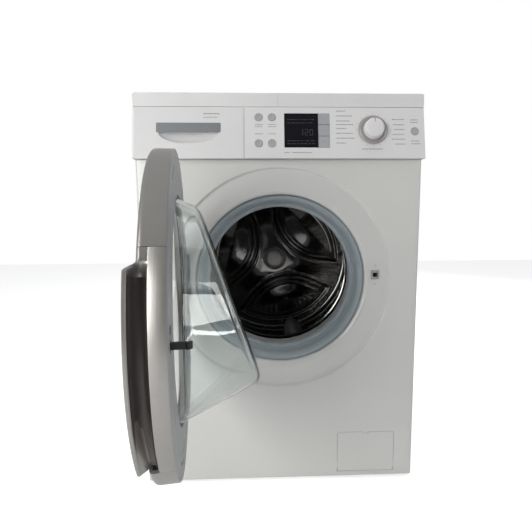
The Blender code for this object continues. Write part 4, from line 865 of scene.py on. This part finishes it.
def bowl_rings(shrink, start, edge):
    """Rings of one side of the glass bowl, from its mouth over the round edge of its slanted face
    to the face's middle. shrink moves the side inward, and edge is how far its rounding reaches."""
    rim, face = BOWL_RIM - shrink, BOWL_DEPTH - shrink * math.hypot(1, BOWL_SLOPE)

    def radius_at(depth):
        return rim - BOWL_TAPER * (depth - BOWL_START)

    turns = []                                   # angle, corner radius, corner depth, slope of the face
    for i in range(FINE):
        angle = math.tau * i / FINE
        fall = -BOWL_SLOPE * math.sin(angle)
        corner = radius_at(face) / (1 + BOWL_TAPER * fall)
        turns.append((angle, corner, face + fall * corner, fall))
    rings = []
    for share in (0.0, 0.18, 0.36, 0.54, 0.72, 0.88, 1.0):
        depths = [lerp(start, depth - edge, share) for angle, corner, depth, fall in turns]
        rings.append([spun(radius_at(d), d, turn[0]) for d, turn in zip(depths, turns)])
    for k in range(1, 9):
        t = k / 9
        first, second, third = (1 - t) ** 2, 2 * t * (1 - t), t * t
        rings.append([spun(first * radius_at(depth - edge) + second * corner + third * (corner - edge),
                           first * (depth - edge) + second * depth + third * (depth - fall * edge), angle)
                      for angle, corner, depth, fall in turns])
    for share in (1.0, 0.8, 0.55, 0.3, 0.1):
        rings.append([spun((corner - edge) * share, face + fall * (corner - edge) * share, angle)
                      for angle, corner, depth, fall in turns])
    return rings + [[(0, face, 0)]]


def door_glass():
    """Glass bowl: its inner side, the flange that the frame grips, and its outer side."""
    flange = [(0.1628, 0.0140), (0.1640, 0.0131), (0.1787, 0.0131), (0.1795, 0.0139), (0.1795, 0.0157),
              (0.1787, 0.0165), (0.1712, 0.0165), (0.1682, 0.0175), (0.1662, 0.0190)]
    inner = bowl_rings(BOWL_WALL, 0.0165, 0.0105)
    outer = bowl_rings(0.0, 0.0205, 0.0150)
    mesh = loft(inner[::-1] + [circle(r, d) for r, d in flange] + outer)
    piece("door_glass_bowl", mesh, "bowl_glass", "door", DOOR_SPACE, ["door_glass"], crease=60)


def latch_hook():
    """Flat hook whose nose points to the free edge."""
    space = DOOR_SPACE @ Matrix.Translation((LOCK.x, 0.0190, LOCK_RISE))
    outline = [(-0.0025, -0.0030), (0.0025, -0.0030), (0.0025, 0.0192), (0.0034, 0.0200),
               (0.0042, 0.0206), (0.0042, 0.0222), (0.0030, 0.0246), (0.0012, 0.0262),
               (-0.0012, 0.0262), (-0.0025, 0.0250)]
    piece("latch_hook_moulding", prism(outline, -0.0037, 0.0037, "z"), "black_plastic", "latch_hook",
          space, ["latch_hook"], soften=0.0005, steps=3)


def hinge_arm():
    """Arm plate with a rolled knuckle and its fixing post."""
    hinge = DOOR_SPACE @ Matrix.Translation((-DOOR_CENTRE, 0, 0))
    half, roll, bevel, reach = 0.0455, 0.0042, 0.0006, 0.0384
    knuckle = lathe([(0, -half), (roll - bevel, -half), (roll, bevel - half), (roll, half - bevel),
                     (roll - bevel, half), (0, half)], 48)
    plate = box((0.0, -0.0012, -0.042), (reach, 0.0018, 0.042))
    post = box((reach - 0.0056, 0.0005, -0.036), (reach, RING_INSIDE - 0.0033, 0.036))
    mesh = carve(plate, (knuckle, Matrix.Rotation(math.pi / 2, 4, "X")), post, operation="UNION")
    piece("hinge_arm_plate", mesh, "zinc_plate", "door", hinge, ["hinge_arm"], soften=0.0004)


# ---- gasket, drum and what hangs with them ---------------------------------------------
def gasket():
    """Rubber bellows: a flat face in the porthole, two folds and the lip the glass seals on."""
    front = [(0.1809, 0.0105), (0.1807, 0.0126), (0.1800, 0.0142), (0.1786, 0.0152), (0.1768, 0.0160),
             (0.1746, 0.0176), (0.1724, 0.0202), (0.1706, 0.0236), (0.1693, 0.0276), (0.1684, 0.0318),
             (0.1677, 0.0356), (0.1670, 0.0384), (0.1658, 0.0402), (0.1646, 0.0420), (0.1644, 0.0440),
             (0.1648, 0.0456), (0.1640, 0.0466), (0.1622, 0.0470), (0.1604, 0.0476), (0.1588, 0.0488),
             (0.1577, 0.0506), (0.1575, 0.0526), (0.1590, 0.0546), (0.1640, 0.0570), (0.1700, 0.0600),
             (0.1750, 0.0640), (0.1764, 0.0700), (0.1762, 0.0780), (0.1748, 0.0840), (0.1746, 0.1140)]
    behind = []
    for i, (r, d) in enumerate(front):
        before, after = front[max(0, i - 1)], front[min(len(front) - 1, i + 1)]
        across, along = after[0] - before[0], after[1] - before[1]
        size = math.hypot(across, along)
        behind.append((min(r + 0.0028 * along / size, 0.1809), d - 0.0028 * across / size))
    mesh = lathe(front + behind[::-1])
    made = piece("gasket_bellows", mesh, "gasket_rubber", None, DRUM_SPACE, ["gasket"], crease=70)
    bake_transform(made)


def star_depth(x, z):
    """Depth of the drum's back wall: three pressed arms, grooves beside them and domed fields."""
    r = math.hypot(x, z)
    base = 0.4180 + 0.0140 * smoothstep(0.03, 0.21, r)
    if r < 1e-6:
        return base
    melt, hub_radius, field_radius = 0.022, 0.056, 0.2080
    half_width = 0.0290 + 0.016 * smoothstep(0.10, 0.24, r)
    from_arms = []
    for index in range(3):
        angle = math.atan2(z, x) - STAR_ANGLE - index * math.tau / 3
        angle = (angle + math.pi) % math.tau - math.pi
        across = abs(r * math.sin(angle)) if abs(angle) < math.pi / 2 else r
        from_arms.append(across - half_width)
    gap = -melt * math.log(sum(math.exp(-value / melt) for value in from_arms))
    edge = min(gap, (field_radius - r) * 1.1)
    hub = smoothstep(hub_radius, 0.040, r)
    bead = 0.0034 * math.exp(-((gap + 0.004) / 0.0036) ** 2) * smoothstep(0.035, 0.06, r)
    groove = 0.0080 * smoothstep(0.001, 0.008, edge) * (1 - smoothstep(0.012, 0.021, edge))
    dome = 0.0085 * smoothstep(0.014, 0.075, edge)
    ridge = 0.0022 * math.exp(-((edge - 0.0225) / 0.0035) ** 2)
    crown = 0.0012 * math.exp(-(min(0.0, gap) / 0.020) ** 2)
    return base + (groove - bead - dome - ridge + crown) * (1 - hub)


def drum():
    """Back wall with the pressed star, pierced wall and rolled front lip, as one steel shell."""
    spokes, steps, star_radius = 360, 96, 0.2180
    angles = [math.tau * i / spokes for i in range(spokes)]
    rings = [[(0, star_depth(0, 0), 0)]]
    for k in range(1, steps + 1):
        r = star_radius * (k / steps)
        rings.append([spun(r, star_depth(r * math.cos(a), r * math.sin(a)), a) for a in angles])
    for r, d in ((0.2200, 0.4335), (0.2225, 0.4335), (0.2262, 0.4325), (0.2300, 0.4300), (0.2332, 0.4260),
                 (0.2355, 0.4210), (0.2370, 0.4150), (0.2383, 0.4080), (DRUM_WALL, DRUM_WALL_END)):
        rings.append([spun(r, d, a) for a in angles])
    piece("drum_back_star", loft(rings), "stainless_steel", "drum", DRUM_SPACE, ["drum_shell"], crease=75)
    pierced_wall()
    lip = [(DRUM_WALL, DRUM_WALL_START), (0.2380, 0.1700), (0.2362, 0.1650), (0.2325, 0.1600),
           (0.2262, 0.1550), (0.2150, 0.1500), (0.1960, 0.1478), (0.1770, 0.1457), (0.1706, 0.1440),
           (0.1684, 0.1450), (0.1678, 0.1472), (0.1686, 0.1490), (0.1706, 0.1496), (0.1746, 0.1470)]
    back = [(r, d + 0.0012) for r, d in reversed(lip[1:8])] + [(DRUM_WALL - 0.0010, DRUM_WALL_START)]
    piece("drum_front_lip", lathe(lip + back), "stainless_steel", "drum", DRUM_SPACE)
    cap = lathe([(0, 0.4015), (0.0180, 0.4020), (0.0255, 0.4032), (0.0290, 0.4052), (0.0302, 0.4080),
                 (0.0304, 0.4130), (0.0350, 0.4150), (0.0362, 0.4180), (0.0362, 0.4210), (0, 0.4210)], 96)
    piece("drum_hub_cap", cap, "cap_satin", "drum", DRUM_SPACE)


def pierced_wall():
    """Cylinder wall pierced with rows of drain holes, as a grid of cells with round holes."""
    across, deep, hole, sides = 66, 10, 0.0021, 8
    r, start = DRUM_WALL, DRUM_WALL_START
    cell_a, cell_d = math.tau / across, (DRUM_WALL_END - start) / deep
    cage = bmesh.new()
    corners = {}

    def corner(a, d):
        """The vertex that neighbouring cells share."""
        key = (round(a % math.tau, 7), round(d, 7))
        if key not in corners:
            corners[key] = cage.verts.new(spun(r, d, a))
        return corners[key]

    for i in range(across):
        for k in range(deep):
            middle_a, middle_d = i * cell_a + cell_a / 2, start + k * cell_d + cell_d / 2
            rim = []
            for s in range(sides):
                at_a, at_d = math.cos(math.tau * s / sides), math.sin(math.tau * s / sides)
                big = max(abs(at_a), abs(at_d))
                rim.append((corner(middle_a + at_a / big * cell_a / 2, middle_d + at_d / big * cell_d / 2),
                            cage.verts.new(spun(r, middle_d + at_d * hole, middle_a + at_a * hole / r))))
            for (outer, inner), (next_outer, next_inner) in zip(rim, rim[1:] + rim[:1]):
                cage.faces.new((outer, next_outer, next_inner, inner))
    wall = piece("drum_pierced_wall", mesh_of(cage), "stainless_steel", "drum", DRUM_SPACE)
    thick = wall.modifiers.new("sheet", "SOLIDIFY")
    thick.thickness, thick.offset = 0.0010, 0.0


def lifters():
    """Paddles with round crests, tapered ends and a line of drip holes."""
    foot_radius, start, end = 0.2366, 0.1700, 0.4200
    hole = lathe([(0, -0.01), (0.0022, -0.01), (0.0022, 0.0040), (0, 0.0040)], 16)
    holes = set_at(hole, [(0.1915, 0.2200 + 0.030 * k, 0) for k in range(6)],
                   Matrix.Rotation(-math.pi / 2, 4, "Z"))
    rings = []
    for k in range(41):
        t = k / 40
        full = min(1.0, math.sin(math.pi * t) * 3.2) ** 0.5 if 0 < t < 1 else 0.0
        height = lerp(0.004, 0.0450, full)
        base, crest = lerp(0.0200, 0.0290, full), lerp(0.006, 0.0115, full)
        ring = []
        for s in range(25):
            turn = math.pi * (s / 24)
            swing, rise = math.cos(turn), math.sin(turn) ** 0.62
            half = lerp(base, crest, rise ** 1.6)
            ring.append((foot_radius - height * rise, lerp(start, end, t),
                         half * math.copysign(abs(swing) ** 0.7, swing)))
        rings.append(ring)
    for index in range(3):
        angle = STAR_ANGLE + index * math.tau / 3 + math.pi / 3
        name = f"drum_lifter_{index + 1}"
        piece(name + "_paddle", carve(loft(rings, ends=True), *holes), "lifter_plastic", "drum",
              DRUM_SPACE @ Matrix.Rotation(-angle, 4, "Y"), [name], crease=45)


def coil_mesh(x, y, low, high, turns=9, radius=0.0125, wire=0.0016):
    """Close coil swept as a round wire."""
    rings, per_turn, up = [], 28, Vector((0, 0, 1))
    total = turns * per_turn
    for i in range(total + 1):
        a = math.tau * i / per_turn
        out = Vector((math.cos(a), math.sin(a), 0))
        centre = Vector((x, y, lerp(low + wire, high - wire, i / total))) + radius * out
        rings.append([centre + wire * (math.cos(math.tau * s / 8) * out + math.sin(math.tau * s / 8) * up)
                      for s in range(8)])
    return loft(rings, ends=True)


def suspended_links():
    """Springs and sump hose between the cabinet and the tub, left on no body."""
    for side, name in ((-1, "left"), (1, "right")):
        low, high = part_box("spring_" + name)
        x, y = side * 0.200, FRONT + 0.380
        made = piece(f"spring_{name}_coil", coil_mesh(x, y, low.z, high.z), "bright_steel", None,
                     stands_for=["spring_" + name])
        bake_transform(made)
    packed = frame["nodes"]["sump_hose"].data
    hose = piece("sump_hose_bellows", packed.copy(), packed.materials[0].name, None,
                 stands_for=["sump_hose"], crease=50)
    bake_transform(hose)


for make in (front_panel, service_flap, side_panels, worktop, screws, controls, drawer, door_ring,
             door_handle, door_inner_frame, door_glass, latch_hook, hinge_arm, gasket, drum, lifters,
             suspended_links):
    make()


# ---- floor, light and camera -----------------------------------------------------------
def stage():
    """Plain pale floor, lifted to white where the camera sees it."""
    cage = bmesh.new()
    bmesh.ops.create_grid(cage, x_segments=8, y_segments=8, size=4.0)
    ground = added("floor", mesh_of(cage))
    look = bpy.data.materials.new("floor_paint")
    look.use_nodes = True
    tree = look.node_tree
    shader = tree.nodes["Principled BSDF"]
    shader.inputs["Roughness"].default_value = 0.7
    shader.inputs["Emission Color"].default_value = (1, 1, 1, 1)
    seen = node(tree, "LightPath").outputs["Is Camera Ray"]
    tree.links.new(maths(tree, "MULTIPLY", seen, 0.62), shader.inputs["Emission Strength"])
    place = node(tree, "TexCoord").outputs["Object"]
    cloud = node(tree, "TexNoise", Vector=place, Scale=1.5, Detail=4.0)
    tone = node(tree, "Mix", {"data_type": "RGBA"}, _0=cloud.outputs[0], _6=(0.76, 0.76, 0.76, 1),
                _7=(0.78, 0.78, 0.78, 1))
    tree.links.new(tone.outputs[2], shader.inputs["Base Color"])
    ground.data.materials.append(look)


def area_light(name, spot, target, size, power, colour=(1, 1, 1)):
    """Soft rectangular lamp turned towards a point."""
    data = bpy.data.lights.new(name, "AREA")
    data.shape, data.size, data.size_y, data.energy, data.color = "RECTANGLE", *size, power, colour
    lamp = added(name, data)
    lamp.location = spot
    lamp.rotation_mode = "QUATERNION"
    lamp.rotation_quaternion = (Vector(target) - Vector(spot)).to_track_quat("-Z", "Y")
    return lamp


def studio_world():
    """Even soft room light, dimmer straight ahead of the machine, and a white backdrop."""
    world = bpy.data.worlds.new("studio")
    bpy.context.scene.world = world
    world.use_nodes = True
    tree = world.node_tree
    room = tree.nodes["Background"]
    room.inputs["Color"].default_value = (0.98, 0.99, 1.0, 1)
    toward = node(tree, "SeparateXYZ", _0=node(tree, "TexCoord").outputs["Generated"]).outputs[1]
    level = node(tree, "MapRange", {"interpolation_type": "SMOOTHSTEP"}, _0=toward, _1=-0.92, _2=-0.45,
                 _3=0.02, _4=0.36).outputs[0]
    tree.links.new(level, room.inputs["Strength"])
    backdrop = node(tree, "Background", Color=(1, 1, 1, 1), Strength=1.0)
    seen = node(tree, "LightPath").outputs["Is Camera Ray"]
    mixed = node(tree, "MixShader", _0=seen, _1=room.outputs[0], _2=backdrop.outputs[0])
    tree.links.new(mixed.outputs[0], tree.nodes["World Output"].inputs["Surface"])


def lights():
    """Overhead panel that leaves no glint, a window in front on the left, and weaker fills."""
    studio_world()
    overhead = area_light("overhead", (0.1, 0.1, 2.8), (0.0, -0.1, 0.3), (2.6, 2.2), 34)
    overhead.visible_glossy = False
    area_light("front_window", (-1.7, -2.2, 1.0), (0, 0, 0.45), (1.1, 1.5), 36, (1.0, 0.99, 0.97))
    area_light("left_strip", (-1.5, -1.3, 1.2), (0, 0, 0.45), (0.10, 1.5), 9)
    area_light("right_fill", (2.3, -1.6, 1.2), (0.1, 0, 0.5), (0.4, 1.6), 8)
    area_light("rear_fill", (1.8, 2.4, 1.6), (0, 0, 0.5), (1.6, 1.4), 14)
    bpy.context.scene.view_settings.view_transform = "Standard"


def camera():
    """Seen from just left of the middle, at panel height, looking slightly down."""
    data = bpy.data.cameras.new("camera")
    data.lens, data.sensor_width = 25.94, 36.0
    data.shift_x, data.shift_y = -0.0187, -0.0160
    data.clip_start = 0.02
    lens = added("camera", data)
    yaw, pitch, roll = (math.radians(a) for a in (-1.978, -6.347, 0.297))
    level = Matrix.Rotation(math.pi / 2, 4, "X")
    aim = (Matrix.Rotation(yaw, 4, "Z") @ Matrix.Rotation(pitch, 4, "X") @ Matrix.Rotation(roll, 4, "Y")
           @ level)
    lens.matrix_world = Matrix.Translation((-0.0381, FRONT - 0.8114, 0.6006)) @ aim
    bpy.context.scene.camera = lens


stage()
lights()
camera()
